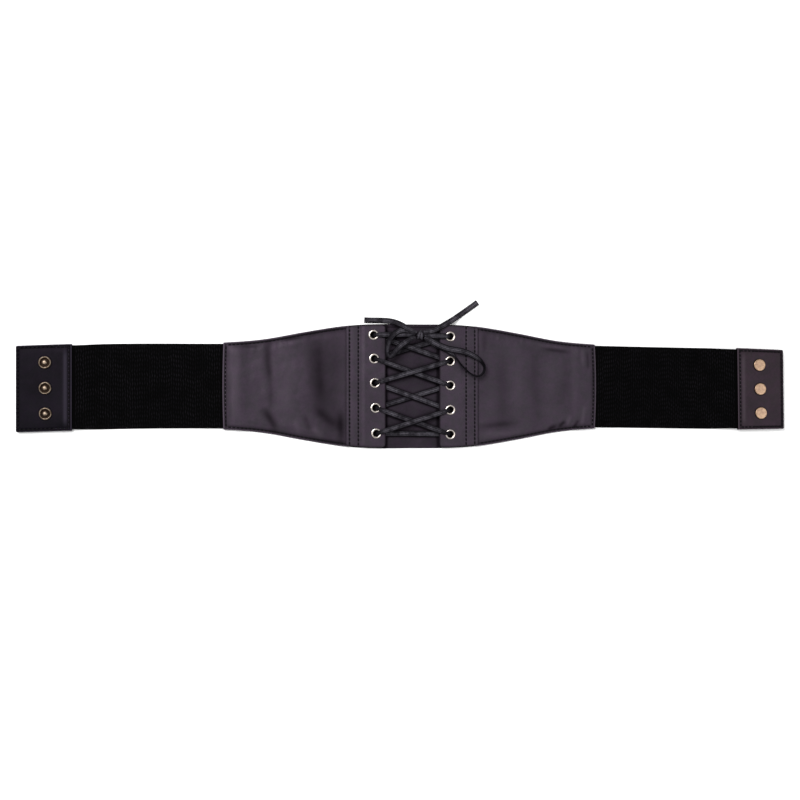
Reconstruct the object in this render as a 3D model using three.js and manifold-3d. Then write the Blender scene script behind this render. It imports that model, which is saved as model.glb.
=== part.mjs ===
// A corset belt laid flat on its back: two curved leather panels joined by criss-cross lacing over
// a modesty panel, with wide elastic out to two leather end tabs that snap together behind the waist.
// Millimetres. X runs along the belt to the right, Y up the belt, Z up from the surface it lies on.
// The origin is on that surface, at the middle of the belt.
import * as THREE from 'three';
import { mergeVertices } from 'three/addons/utils/BufferGeometryUtils.js';
import Module from 'manifold-3d';

const wasm = await Module();
wasm.setup();

// Lengths along the belt
const lacingOpening = 48.4; // between the two lacing strips
const stripWidth = 35.8;
const panelLength = 109; // leather that shows outside a lacing strip
const wingLengthLeft = 178; // from a panel's outer end to the end of the belt
const wingLengthRight = 179.4;
const tabLengthLeft = 47.5;
const tabLengthRight = 44.6;
const tuck = 14; // how far one layer is sewn in under or inside another
const panelSlope = 14; // over which a panel comes down from the modesty panel to the surface
const elasticSettle = 30; // over which the elastic comes down from a pocket to the surface

// Heights across the belt
const middleHeight = 112;
const endHeight = 77.4; // of a panel's outer end
const tabHeight = 76; // where the elastic goes in
const tabEndHeightLeft = 75.4;
const tabEndHeightRight = 73.8;
const elasticWidth = 75;
const elasticDrawIn = 0.7; // how much its seam in the tab draws in each edge of the elastic
const stripInset = 1.1; // border of the modesty panel that shows past a strip
const tuckInset = 2.2; // a panel's tucked end stays this far inside the outline
const stripCornerRadius = 4;
const tabCornerRadius = 1.4;

// Thicknesses
const modestyWall = 1.2;
const panelTuckWall = 1.1;
const panelWall = 2.6;
const skinWall = 1; // one leather layer of a pocket
const stripWall = 1.6;
const elasticWall = 1.4;
const layerGap = 0.3; // between leather, elastic and lace
const rimGap = 0.2; // between metal and leather

// Eyelets
const eyeletRows = 5;
const eyeletPitch = 22.1;
const eyeletSetback = 10; // from a strip's inner edge to the eyelet's centre
const eyeletHole = 5;
const eyeletBarrelWall = 0.4;
const eyeletFrontRim = 9;
const eyeletBackRim = 8;
const eyeletFrontHeight = 0.6;
const eyeletBackHeight = 0.5;
const rowLiftLeft = 1.8; // the left strip is sewn on a little higher than the right one
const rowLiftRight = 0.8;
const rowSlantLeft = 0.028; // the left row leans outwards by this share of its rise
const rowSlantRight = 0;
const rowBowLeft = 1.1; // how far the left row's middle is set higher than its ends
const rowBowRight = 0;

// Snap fasteners. Their levels are shares of their own heights, and their radii of their own edges.
const snapCount = 3;
const snapEdgeInset = 15.7; // from a tab's upper and lower edge to the nearest snap's centre
const studSetback = 25.1; // from the belt's left end
const studRowSlant = 0.01; // X moves by this share of Y
const studDiameter = 11;
const studRimHeight = 1.5;
const studKnobDiameter = 4.2;
const studKnobHeight = 2.6;
const postFlangeDiameter = 10;
const postFlangeHeight = 0.6;
const capSetback = 23.4; // from the belt's right end
const capRowSlant = 0.034;
const capDiameter = 12;
const capHeight = 1.3;
const socketDiameter = 12;
const socketHeight = 2.4;
const socketMouth = 5.2;
const shankDiameter = 2.8; // of the posts and of the caps' shanks

// The lace and its knot
const laceWidth = 5;
const laceWall = 1.1;
const laceWidthInHole = 3.6;
const laceBend = 1.3;
const laceOffsetInHole = 0.55; // towards the opening, because the lace pulls that way
const knotCentre = { x: 6.3, y: 46, z: 7.6 };
const knotLength = 7;
const knotWidth = 8;
const knotHeight = 5;
const knotTurn = -8; // degrees

// How far the wings sag out of line towards the belt's lower edge, and how far the right one's end
// leans, as a share of its rise
const sagLeft = 2.9;
const sagRight = 2.4;
const endSlantLeft = 0;
const endSlantRight = 0.013;

const lathedSides = 14;
const eyeletSides = 12;
const drillSpare = 1; // past the faces of what is drilled

// Places that follow from the sizes
const stripInner = lacingOpening / 2;
const stripOuter = stripInner + stripWidth;
const panelInner = stripOuter - tuck;
const panelOuter = stripOuter + panelLength;
const endWall = 2 * (skinWall + layerGap) + elasticWall;
const eyeletAcross = stripInner + eyeletSetback;

// Heights above the surface that follow from the thicknesses
const backLaceLevel = modestyWall + layerGap + laceWall / 2;
const eyeletBackTop = backLaceLevel + laceWall / 2 + layerGap + eyeletBackHeight;
const stripLiftedBase = eyeletBackTop + rimGap;
const stripSewnBase = modestyWall + panelTuckWall + 2 * layerGap;
const eyeletFrontBase = stripLiftedBase + stripWall + rimGap;
const frontLaceLevel = eyeletFrontBase + eyeletFrontHeight + layerGap + laceWall / 2;
const tabBaseLeft = postFlangeHeight + rimGap;
const tabBaseRight = socketHeight + rimGap;
const studGroove = 0.35 * studRimHeight; // the floor of a stud's groove, above the tab's front

// The belt's outline: along runs from a panel's outer end (0) to the middle (1), rise from the
// end's height (0) to the middle's (1)
const outlineTable = [
  { along: 0, rise: 0 },
  { along: 0.12, rise: 0.08 },
  { along: 0.24, rise: 0.22 },
  { along: 0.42, rise: 0.55 },
  { along: 0.61, rise: 0.855 },
  { along: 0.77, rise: 0.985 },
  { along: 1, rise: 1 },
];

// The wings' sag: along runs from a panel's outer end (0) to the belt's end (1)
const sagTableLeft = [
  { along: 0, sag: 0 },
  { along: 0.41, sag: 0.06 },
  { along: 0.73, sag: 0.46 },
  { along: 1, sag: 1 },
];
const sagTableRight = [
  { along: 0, sag: 0 },
  { along: 0.38, sag: 0.46 },
  { along: 0.75, sag: 0.82 },
  { along: 1, sag: 1 },
];

// A panel's soft thickness across the belt: across runs from the middle line (0) to an edge (1)
const crownTable = [
  { across: 0, fill: 1 },
  { across: 0.5, fill: 0.97 },
  { across: 0.8, fill: 0.86 },
  { across: 0.93, fill: 0.62 },
  { across: 1, fill: 0.2 },
];

// Creases that run up and down a panel: along runs from the strip's edge (0) to the panel's outer
// end (1), and depth is a share of the panel's thickness
const creasesLeft = [
  { along: 0.2, spread: 0.08, depth: 0.3 },
  { along: 0.61, spread: 0.05, depth: 0.34 },
];
const creasesRight = [
  { along: 0.19, spread: 0.05, depth: 0.16 },
  { along: 0.45, spread: 0.05, depth: 0.2 },
  { along: 0.71, spread: 0.06, depth: 0.18 },
];

// The two halves of the belt: hand is the sign of X
const left = {
  name: 'left',
  hand: -1,
  wing: wingLengthLeft,
  end: panelOuter + wingLengthLeft,
  tabStart: panelOuter + wingLengthLeft - tabLengthLeft,
  tabBase: tabBaseLeft,
  tabEndHeight: tabEndHeightLeft,
  rowLift: rowLiftLeft,
  rowSlant: rowSlantLeft,
  rowBow: rowBowLeft,
  endSlant: endSlantLeft,
  snapSlant: studRowSlant,
  sag: sagLeft,
  sagTable: sagTableLeft,
  creases: creasesLeft,
};
const right = {
  name: 'right',
  hand: 1,
  wing: wingLengthRight,
  end: panelOuter + wingLengthRight,
  tabStart: panelOuter + wingLengthRight - tabLengthRight,
  tabBase: tabBaseRight,
  tabEndHeight: tabEndHeightRight,
  rowLift: rowLiftRight,
  rowSlant: rowSlantRight,
  rowBow: rowBowRight,
  endSlant: endSlantRight,
  snapSlant: capRowSlant,
  sag: sagRight,
  sagTable: sagTableRight,
  creases: creasesRight,
};

// The free lace's routes, chosen by hand: the middle of the flat lace, its lean in degrees from
// lying flat to standing on edge, and its width
const tailLeftRoute = [
  { x: 3, y: 48, z: 10.2, lean: 5, width: 2.8 },
  { x: -0.6, y: 49.3, z: 10.9, lean: 6, width: 3.6 },
  { x: -4, y: 51, z: 11, lean: 8, width: 4.3 },
  { x: -7.2, y: 52.9, z: 10.7, lean: 8, width: 4.7 },
  { x: -10.4, y: 54.8, z: 9.9, lean: 7, width: 5 },
  { x: -13.6, y: 56.4, z: 8.3, lean: 5, width: 5 },
  { x: -17, y: 57.7, z: 6.2, lean: 3, width: 5 },
  { x: -20.4, y: 58.6, z: 4.1, lean: 1, width: 5 },
  { x: -24, y: 59.1, z: 2.2, lean: 0, width: 5 },
  { x: -27.6, y: 59.3, z: 1.1, lean: 0, width: 5 },
  { x: -31, y: 59.4, z: 0.8, lean: 0, width: 5 },
  { x: -34.2, y: 59.4, z: 0.7, lean: 0, width: 5 },
  { x: -37.4, y: 59.4, z: 0.7, lean: 0, width: 5 },
  { x: -40.4, y: 59.5, z: 0.7, lean: 0, width: 5 },
  { x: -43.3, y: 59.6, z: 0.7, lean: 0, width: 5 },
];
const tailRightRoute = [
  { x: 9.4, y: 48.9, z: 9, lean: 5, width: 2.8 },
  { x: 13.8, y: 49.2, z: 8.9, lean: 8, width: 3.8 },
  { x: 18.8, y: 50.4, z: 8.8, lean: 10, width: 4.6 },
  { x: 23.9, y: 52.8, z: 8.3, lean: 10, width: 5 },
  { x: 28.8, y: 55.6, z: 7.3, lean: 8, width: 5 },
  { x: 32.8, y: 57.9, z: 5.8, lean: 5, width: 5 },
  { x: 36.4, y: 60, z: 4, lean: 3, width: 5 },
  { x: 39.8, y: 62.2, z: 2.5, lean: 1, width: 5 },
  { x: 43, y: 64.4, z: 1.4, lean: 0, width: 5 },
  { x: 46.1, y: 66.5, z: 0.9, lean: 0, width: 5 },
  { x: 49.2, y: 68.7, z: 0.7, lean: 0, width: 5 },
  { x: 52.2, y: 70.8, z: 0.7, lean: 0, width: 5 },
  { x: 55, y: 72.8, z: 0.7, lean: 0, width: 5 },
  { x: 57.5, y: 74.6, z: 0.7, lean: 0, width: 5 },
  { x: 59.9, y: 76.4, z: 0.7, lean: 0, width: 5 },
];
const loopLeftRoute = [
  { x: 1.8, y: 48, z: 8.5, lean: 0, width: 3 },
  { x: -3, y: 49.7, z: 8.5, lean: -2, width: 4.2 },
  { x: -8.2, y: 50.6, z: 8.5, lean: -5, width: 5 },
  { x: -12.9, y: 49.4, z: 8.8, lean: -14, width: 5.3 },
  { x: -17, y: 46.7, z: 9.2, lean: -24, width: 5.5 },
  { x: -20.2, y: 42.9, z: 9.5, lean: -32, width: 5.5 },
  { x: -22.3, y: 38.3, z: 9.6, lean: -35, width: 5.5 },
  { x: -23.3, y: 33.4, z: 9.3, lean: -38, width: 5.5 },
  { x: -23.1, y: 29.2, z: 9.2, lean: -40, width: 5.4 },
  { x: -21, y: 26.6, z: 9.2, lean: -40, width: 5.2 },
  { x: -18.2, y: 28.2, z: 9.1, lean: -34, width: 5.4 },
  { x: -15.4, y: 31.9, z: 9.3, lean: -26, width: 5.7 },
  { x: -11.8, y: 35.7, z: 9.3, lean: -18, width: 5.6 },
  { x: -7.7, y: 39, z: 9.2, lean: -10, width: 5.3 },
  { x: -3.6, y: 41.5, z: 9, lean: -8, width: 4.6 },
  { x: -0.2, y: 43, z: 8.8, lean: -4, width: 3.6 },
  { x: 2.4, y: 43.7, z: 8.6, lean: 0, width: 2.8 },
];
const loopRightRoute = [
  { x: 10.4, y: 43.9, z: 8.6, lean: 0, width: 3 },
  { x: 15.2, y: 41.3, z: 9.1, lean: 4, width: 4.2 },
  { x: 20.7, y: 38.3, z: 9.6, lean: 6, width: 5.2 },
  { x: 26.2, y: 35.6, z: 9.9, lean: 8, width: 5.6 },
  { x: 31.8, y: 33.7, z: 10, lean: 8, width: 5.6 },
  { x: 37.8, y: 32.6, z: 10, lean: 8, width: 5.6 },
  { x: 43.4, y: 31.7, z: 9.8, lean: 10, width: 5.6 },
  { x: 48.9, y: 30.1, z: 9.4, lean: 16, width: 5.4 },
  { x: 54.2, y: 27.8, z: 9, lean: 28, width: 5.2 },
  { x: 58.9, y: 25.2, z: 8.6, lean: 45, width: 5 },
  { x: 62.6, y: 21.9, z: 8.1, lean: 62, width: 5 },
  { x: 65, y: 17.4, z: 7.7, lean: 75, width: 5 },
  { x: 64.2, y: 12.6, z: 7.7, lean: 78, width: 5 },
  { x: 60.6, y: 9.4, z: 7.8, lean: 78, width: 5 },
  { x: 56.1, y: 9.5, z: 8.1, lean: 78, width: 5 },
  { x: 51.6, y: 12, z: 8.2, lean: 76, width: 5 },
  { x: 47.5, y: 15.6, z: 8.3, lean: 75, width: 5 },
  { x: 43.4, y: 19.9, z: 8.4, lean: 74, width: 5 },
  { x: 39.6, y: 24.7, z: 8.6, lean: 68, width: 5 },
  { x: 36, y: 28.8, z: 8.2, lean: 42, width: 5 },
  { x: 32, y: 32, z: 7.3, lean: 14, width: 5 },
  { x: 27, y: 34.3, z: 7, lean: 4, width: 5 },
  { x: 21.6, y: 36.8, z: 7, lean: 0, width: 4.6 },
  { x: 16, y: 39.7, z: 7, lean: 0, width: 3.8 },
  { x: 11.4, y: 42.2, z: 7, lean: 0, width: 2.8 },
];

// A smooth curve through a table's columns, flat past its ends
function tableCurve(table, from, to) {
  const slopeAt = (i) => {
    const before = table[Math.max(i - 1, 0)];
    const after = table[Math.min(i + 1, table.length - 1)];
    return (after[to] - before[to]) / (after[from] - before[from]);
  };
  return (value) => {
    const clamped = THREE.MathUtils.clamp(value, table[0][from], table.at(-1)[from]);
    const i = Math.min(table.findLastIndex((row) => row[from] <= clamped), table.length - 2);
    const span = table[i + 1][from] - table[i][from];
    const t = (clamped - table[i][from]) / span;
    const rest = 1 - t;
    return (
      table[i][to] * (1 + 2 * t) * rest * rest +
      table[i + 1][to] * (3 - 2 * t) * t * t +
      span * t * rest * (slopeAt(i) * rest - slopeAt(i + 1) * t)
    );
  };
}

const outlineRise = tableCurve(outlineTable, 'along', 'rise');
const crownFill = tableCurve(crownTable, 'across', 'fill');
const smooth = THREE.MathUtils.smoothstep;
const mix = THREE.MathUtils.lerp;

// Half the belt's height at a distance from the middle
function outlineHalf(distance) {
  const along = 1 - Math.abs(distance) / panelOuter;
  return mix(endHeight, middleHeight, outlineRise(along)) / 2;
}

// What a rounded corner takes off the half height, at a distance in from the edge
function cornerCut(inward, radius) {
  const short = Math.max(radius - inward, 0);
  return radius - Math.sqrt(radius * radius - short * short);
}

// Values from start to end in equal steps, with both ends
function steps(start, end, count) {
  return Array.from({ length: count + 1 }, (_, i) => mix(start, end, i / count));
}

// The stations of a rounded corner that ends at edge, inwards from it on the side of sign
function cornerStations(edge, radius, sign) {
  return [0, 30, 60, 90].map((degrees) => {
    return edge + sign * radius * (1 - Math.sin(THREE.MathUtils.degToRad(degrees)));
  });
}

// Sorted values, without those that lie closer together than a hair
function tidyStations(values) {
  const hair = 0.05;
  const sorted = [...values].sort((a, b) => a - b);
  return sorted.filter((value, i) => i === 0 || value - sorted[i - 1] > hair);
}

// How far the belt has leant at a distance from its middle: X moves by this share of Y
function slantAt(side, distance) {
  return side.endSlant * smooth(distance, panelOuter, side.tabStart);
}

// Moves each vertex of a three.js shape, welds it and turns its faces outwards
function reshape(source, place) {
  const geometry = source.clone();
  geometry.deleteAttribute('normal');
  geometry.deleteAttribute('uv');
  const position = geometry.getAttribute('position');
  const point = new THREE.Vector3();
  for (let i = 0; i < position.count; i += 1) {
    place(point.fromBufferAttribute(position, i));
    position.setXYZ(i, point.x, point.y, point.z);
  }
  return weld(geometry);
}

// Shared vertices, no empty triangles, faces pointing out
function weld(geometry) {
  const welded = mergeVertices(geometry, 1e-4);
  const corner = [new THREE.Vector3(), new THREE.Vector3(), new THREE.Vector3()];
  const index = welded.getIndex().array;
  const position = welded.getAttribute('position');
  const kept = [];
  let volume = 0;
  for (let i = 0; i < index.length; i += 3) {
    const [a, b, c] = [index[i], index[i + 1], index[i + 2]];
    if (a !== b && b !== c && c !== a) {
      kept.push(a, b, c);
      [a, b, c].forEach((vertex, k) => corner[k].fromBufferAttribute(position, vertex));
      volume += corner[0].dot(corner[1].cross(corner[2]));
    }
  }
  welded.setIndex(volume > 0 ? kept : kept.reverse());
  welded.computeVertexNormals();
  return welded;
}

function toSolid(geometry) {
  const vertProperties = Float32Array.from(geometry.getAttribute('position').array);
  const triVerts = Uint32Array.from(geometry.getIndex().array);
  return new wasm.Manifold(new wasm.Mesh({ numProp: 3, vertProperties, triVerts }));
}

function fromSolid(solid) {
  const { vertProperties, triVerts } = solid.getMesh();
  const geometry = new THREE.BufferGeometry();
  geometry.setAttribute('position', new THREE.BufferAttribute(vertProperties, 3));
  geometry.setIndex(new THREE.BufferAttribute(triVerts, 1));
  return weld(geometry);
}

function cut(geometry, tools) {
  return fromSolid(tools.reduce((solid, tool) => solid.subtract(toSolid(tool)), toSolid(geometry)));
}

// A soft layer of leather or elastic. Stations are its distances from the belt's middle and rows its
// shares across, from -1 at the lower edge to 1 at the upper one. half, base and top give its half
// height and its two faces, drop moves it down the belt and slant leans it over.
function layer({ hand, stations, rows, half, base, top, drop = () => 0, slant = () => 0 }) {
  const box = new THREE.BoxGeometry(1, 1, 1, stations.length - 1, rows.length - 1, 1);
  return reshape(box, (p) => {
    const distance = stations[Math.round((p.x + 0.5) * (stations.length - 1))];
    const share = rows[Math.round((p.y + 0.5) * (rows.length - 1))];
    const upper = p.z > 0;
    p.y = share * half(distance) - drop(distance);
    p.x = hand * distance - slant(distance) * p.y;
    p.z = upper ? top(distance, share) : base(distance, share);
  });
}

// A turned piece: rows of radius and level, round the Z axis
function turned(profile, sides = lathedSides) {
  const points = profile.map(({ radius, level }) => new THREE.Vector2(radius, level));
  const lathe = new THREE.LatheGeometry(points, sides);
  lathe.rotateX(Math.PI / 2);
  return reshape(lathe, (p) => p);
}

function drill(diameter, base, top, x, y) {
  const radius = diameter / 2;
  const tool = turned([
    { radius: 0, level: base },
    { radius, level: base },
    { radius, level: top },
    { radius: 0, level: top },
  ]);
  return tool.translate(x, y, 0);
}

// How far a wing has sagged at a distance from the middle
function wingDrop(side) {
  const share = tableCurve(side.sagTable, 'along', 'sag');
  return (distance) => side.sag * share((distance - panelOuter) / side.wing);
}

// The level of the elastic's lower face: in the panel's pocket, down on the surface, in the tab's
function elasticBase(side) {
  const pocket = skinWall + layerGap;
  return (distance) => {
    const leaving = 1 - smooth(distance, panelOuter + layerGap, panelOuter + elasticSettle);
    const arriving = smooth(distance, side.tabStart - elasticSettle, side.tabStart - layerGap);
    return pocket * leaving + (side.tabBase + pocket) * arriving;
  };
}

// Half the elastic's width, which its seam in the tab draws in
function elasticHalf(side) {
  return (distance) => {
    const near = smooth(distance, side.tabStart - elasticSettle, side.tabStart - layerGap);
    return elasticWidth / 2 - elasticDrawIn * near;
  };
}

// The room that the elastic's tucked end needs, with its clearance
function pocketTool(side, from, to, floor) {
  const half = elasticHalf(side);
  return layer({
    hand: side.hand,
    stations: steps(from, to, 4),
    rows: [-1, 1],
    half: (distance) => half(distance) + layerGap,
    base: () => floor + skinWall,
    top: () => floor + skinWall + 2 * layerGap + elasticWall,
    drop: wingDrop(side),
    slant: (distance) => slantAt(side, distance),
  });
}

function elastic(side) {
  const base = elasticBase(side);
  const inPanel = panelOuter - tuck + layerGap;
  const inTab = side.tabStart + tuck - layerGap;
  return layer({
    hand: side.hand,
    stations: [inPanel, ...steps(panelOuter, side.tabStart, 20), inTab],
    rows: [-1, 0, 1],
    half: elasticHalf(side),
    base,
    top: (distance) => base(distance) + elasticWall,
    drop: wingDrop(side),
    slant: (distance) => slantAt(side, distance),
  });
}

// Half a tab's height, which tapers to the belt's end and rounds its corners
function tabHalf(side) {
  return (distance) => {
    const along = (distance - side.tabStart) / (side.end - side.tabStart);
    const height = mix(tabHeight, side.tabEndHeight, along);
    return height / 2 - cornerCut(side.end - distance, tabCornerRadius);
  };
}

function tab(side, snapDistance, holeDiameter) {
  const body = layer({
    hand: side.hand,
    stations: tidyStations([
      ...steps(side.tabStart, side.end - tabCornerRadius, 5),
      ...cornerStations(side.end, tabCornerRadius, -1),
    ]),
    rows: [-1, 0, 1],
    half: tabHalf(side),
    base: () => side.tabBase,
    top: () => side.tabBase + endWall,
    drop: wingDrop(side),
    slant: (distance) => slantAt(side, distance),
  });
  const pocket = pocketTool(side, side.tabStart - tuck, side.tabStart + tuck, side.tabBase);
  const holes = snapPlaces(side, snapDistance).map(({ x, y }) => {
    return drill(holeDiameter, side.tabBase - drillSpare, side.tabBase + endWall + drillSpare, x, y);
  });
  return cut(body, [pocket, ...holes]);
}

function sidePanel(side) {
  const stack = modestyWall + layerGap;
  const tucked = stripOuter + layerGap;
  const levelFrom = stripOuter + panelSlope;
  const firstShown = stripOuter + 2; // the first station that shows past the strip's edge
  const pocketStart = panelOuter - tuck - 2 * layerGap;
  const creaseAt = (distance) => {
    const along = (distance - stripOuter) / panelLength;
    return side.creases.reduce((sum, crease) => {
      const off = (along - crease.along) / crease.spread;
      return sum + crease.depth * Math.exp(-off * off);
    }, 0);
  };
  const base = (distance) => stack * (1 - smooth(distance, tucked, levelFrom));
  const top = (distance, share) => {
    const out = smooth(distance, tucked, levelFrom);
    const nearPocket = smooth(distance, pocketStart - panelSlope, pocketStart);
    const fill = crownFill(Math.abs(share)) - creaseAt(distance);
    const soft = skinWall + (panelWall - skinWall) * Math.max(fill, 0);
    return base(distance) + mix(mix(panelTuckWall, soft, out), endWall, nearPocket);
  };
  const body = layer({
    hand: side.hand,
    stations: tidyStations([
      panelInner,
      tucked,
      ...steps(firstShown, levelFrom, 4),
      ...steps(levelFrom, pocketStart, 17),
      panelOuter,
    ]),
    rows: [-1, -0.93, -0.8, -0.5, 0, 0.5, 0.8, 0.93, 1],
    half: (distance) => outlineHalf(distance) - (distance > tucked ? 0 : tuckInset),
    base,
    top,
  });
  return cut(body, [pocketTool(side, panelOuter - tuck, panelOuter + tuck, 0)]);
}

function stripBase(distance) {
  const lift = 1 - smooth(distance, eyeletAcross + eyeletFrontRim, stripOuter - tuck);
  return mix(stripSewnBase, stripLiftedBase, lift);
}

function lacingStrip(side) {
  const half = (distance) => {
    return outlineHalf(distance) - stripInset - cornerCut(distance - stripInner, stripCornerRadius);
  };
  const flatEnd = eyeletAcross + eyeletFrontRim;
  const body = layer({
    hand: side.hand,
    stations: tidyStations([
      ...cornerStations(stripInner, stripCornerRadius, 1),
      flatEnd,
      ...steps(flatEnd, panelInner, 3),
      ...steps(panelInner, stripOuter, 2),
    ]),
    rows: [-1, -0.5, 0, 0.5, 1],
    half,
    base: stripBase,
    top: (distance) => stripBase(distance) + stripWall,
  });
  const holeDiameter = eyeletHole + 2 * (eyeletBarrelWall + rimGap);
  const holes = eyeletPlaces(side).map(({ x, y }) => drill(holeDiameter, 0, frontLaceLevel, x, y));
  return cut(body, holes);
}

function modestyPanel() {
  const reach = stripOuter - layerGap;
  return layer({
    hand: 1,
    stations: steps(-reach, reach, 13),
    rows: [-1, 1],
    half: outlineHalf,
    base: () => 0,
    top: () => modestyWall,
  });
}

// A piece's rows of heights up the belt, spaced evenly about a middle
function spacedRows(count, pitch, middle) {
  return Array.from({ length: count }, (_, i) => middle + pitch * ((count - 1) / 2 - i));
}

function eyeletPlaces(side) {
  const reach = (eyeletPitch * (eyeletRows - 1)) / 2;
  return spacedRows(eyeletRows, eyeletPitch, 0).map((rise) => {
    const bow = side.rowBow * (1 - (rise / reach) ** 2);
    return { x: side.hand * (eyeletAcross + side.rowSlant * rise), y: side.rowLift + rise + bow };
  });
}

// The snaps lie evenly between a tab's edges, so they follow its height
function snapPlaces(side, distance) {
  const pitch = (tabHeight - 2 * snapEdgeInset) / (snapCount - 1);
  return spacedRows(snapCount, pitch, -wingDrop(side)(distance)).map((y) => {
    return { x: side.hand * distance - side.snapSlant * y, y };
  });
}

function eyelet() {
  const bore = eyeletHole / 2;
  const barrel = bore + eyeletBarrelWall;
  const rim = eyeletFrontRim / 2;
  const frontTop = eyeletFrontBase + eyeletFrontHeight;
  const backBase = eyeletBackTop - eyeletBackHeight;
  const crest = { inner: mix(bore, rim, 0.25), outer: mix(barrel, rim, 0.7) };
  const throat = mix(eyeletFrontBase, frontTop, 0.4);
  return turned([
    { radius: bore, level: backBase },
    { radius: eyeletBackRim / 2, level: backBase },
    { radius: eyeletBackRim / 2, level: eyeletBackTop },
    { radius: barrel, level: eyeletBackTop },
    { radius: barrel, level: eyeletFrontBase },
    { radius: rim, level: eyeletFrontBase },
    { radius: crest.outer, level: frontTop },
    { radius: crest.inner, level: frontTop },
    { radius: bore, level: throat },
    { radius: bore, level: backBase },
  ], eyeletSides);
}

// A stud's levels start at the tab's front face. Its bore takes the post's end.
function snapStud() {
  const edge = studDiameter / 2;
  const knob = studKnobDiameter / 2;
  const knobTop = 0.7 * knob;
  const knobWaist = 0.85 * knob;
  const knobShoulder = 0.75 * studKnobHeight;
  const fillet = 0.2;
  const rim = { foot: 0.68 * edge, inner: 0.78 * edge, outer: 0.93 * edge, shoulder: 0.4 * studRimHeight };
  const bore = shankDiameter / 2 + rimGap;
  return turned([
    { radius: 0, level: studKnobHeight },
    { radius: knobTop, level: studKnobHeight },
    { radius: knob, level: knobShoulder },
    { radius: knobWaist, level: studGroove + fillet },
    { radius: knob + fillet, level: studGroove },
    { radius: rim.foot, level: studGroove },
    { radius: rim.inner, level: studRimHeight },
    { radius: rim.outer, level: studRimHeight },
    { radius: edge, level: rim.shoulder },
    { radius: edge, level: 0 },
    { radius: bore, level: 0 },
    { radius: bore, level: studGroove - rimGap },
    { radius: 0, level: studGroove - rimGap },
  ]);
}

// A post's levels start at the surface the belt lies on
function snapPost() {
  const flange = postFlangeDiameter / 2;
  const foot = { radius: 0.93 * flange, shoulder: 0.3 * postFlangeHeight };
  const shank = shankDiameter / 2;
  const tip = tabBaseLeft + endWall + studGroove - rimGap;
  return turned([
    { radius: 0, level: 0 },
    { radius: foot.radius, level: 0 },
    { radius: flange, level: foot.shoulder },
    { radius: flange, level: postFlangeHeight },
    { radius: shank, level: postFlangeHeight },
    { radius: shank, level: tip },
    { radius: 0, level: tip },
  ]);
}

// A cap's levels start at the tab's front face. Its shank goes through the tab into the socket.
function snapCap() {
  const edge = capDiameter / 2;
  const brow = { inner: 0.78 * edge, outer: 0.93 * edge, top: 0.96 * capHeight, shoulder: 0.78 * capHeight };
  const skirt = 0.4 * capHeight;
  const shank = shankDiameter / 2;
  const reachIntoSocket = 0.4 * socketHeight;
  const tip = -(rimGap + endWall + rimGap + reachIntoSocket);
  return turned([
    { radius: 0, level: capHeight },
    { radius: brow.inner, level: brow.top },
    { radius: brow.outer, level: brow.shoulder },
    { radius: edge, level: skirt },
    { radius: edge, level: 0 },
    { radius: shank, level: 0 },
    { radius: shank, level: tip },
    { radius: 0, level: tip },
  ]);
}

// A socket's levels start at the surface the belt lies on. Its mouth is open downwards.
function snapSocket() {
  const edge = socketDiameter / 2;
  const foot = 0.72 * edge;
  const shoulder = 0.6 * socketHeight;
  const bore = shankDiameter / 2 + rimGap;
  const mouth = socketMouth / 2;
  const ledge = 0.55 * socketHeight;
  return turned([
    { radius: bore, level: socketHeight },
    { radius: edge, level: socketHeight },
    { radius: edge, level: shoulder },
    { radius: foot, level: 0 },
    { radius: mouth, level: 0 },
    { radius: mouth, level: ledge },
    { radius: bore, level: ledge },
    { radius: bore, level: socketHeight },
  ]);
}

// A flat lace along stations, each with its place, its width's direction and its width. The lace is
// extruded straight, one unit a station, and then laid along them.
function ribbon(stations) {
  const flat = 0.38; // half its flat, as a share of its width
  const edge = 0.2; // half its edge, as a share of its thickness
  const outline = new THREE.Shape([
    new THREE.Vector2(-0.5, -edge),
    new THREE.Vector2(-flat, -0.5),
    new THREE.Vector2(flat, -0.5),
    new THREE.Vector2(0.5, -edge),
    new THREE.Vector2(0.5, edge),
    new THREE.Vector2(flat, 0.5),
    new THREE.Vector2(-flat, 0.5),
    new THREE.Vector2(-0.5, edge),
  ]);
  const count = stations.length - 1;
  const strip = new THREE.ExtrudeGeometry(outline, { depth: count, steps: count, bevelEnabled: false });
  const frames = stations.map(({ at, across, width }, i) => {
    const before = stations[Math.max(i - 1, 0)].at;
    const after = stations[Math.min(i + 1, count)].at;
    const along = after.clone().sub(before).normalize();
    const through = along.cross(across).normalize();
    return { at, across: across.clone().multiplyScalar(width), through: through.multiplyScalar(laceWall) };
  });
  return reshape(strip, (p) => {
    const frame = frames[Math.round(p.z)];
    const { x, y } = p;
    p.copy(frame.at).addScaledVector(frame.across, x).addScaledVector(frame.through, y);
  });
}

// The stations of a free route: its width lies level across the route and leans about it
function routeStations(route, count) {
  const places = route.map(({ x, y, z }) => new THREE.Vector3(x, y, z));
  const curve = new THREE.CatmullRomCurve3(places, false, 'catmullrom', 0.5);
  return steps(0, 1, count).map((t) => {
    const at = curve.getPoint(t);
    const along = curve.getTangent(t);
    const place = t * (route.length - 1);
    const i = Math.min(Math.floor(place), route.length - 2);
    const lean = THREE.MathUtils.degToRad(mix(route[i].lean, route[i + 1].lean, place - i));
    const across = new THREE.Vector3(-along.y, along.x, 0).normalize().applyAxisAngle(along, lean);
    return { at, across, width: mix(route[i].width, route[i + 1].width, place - i) };
  });
}

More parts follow.
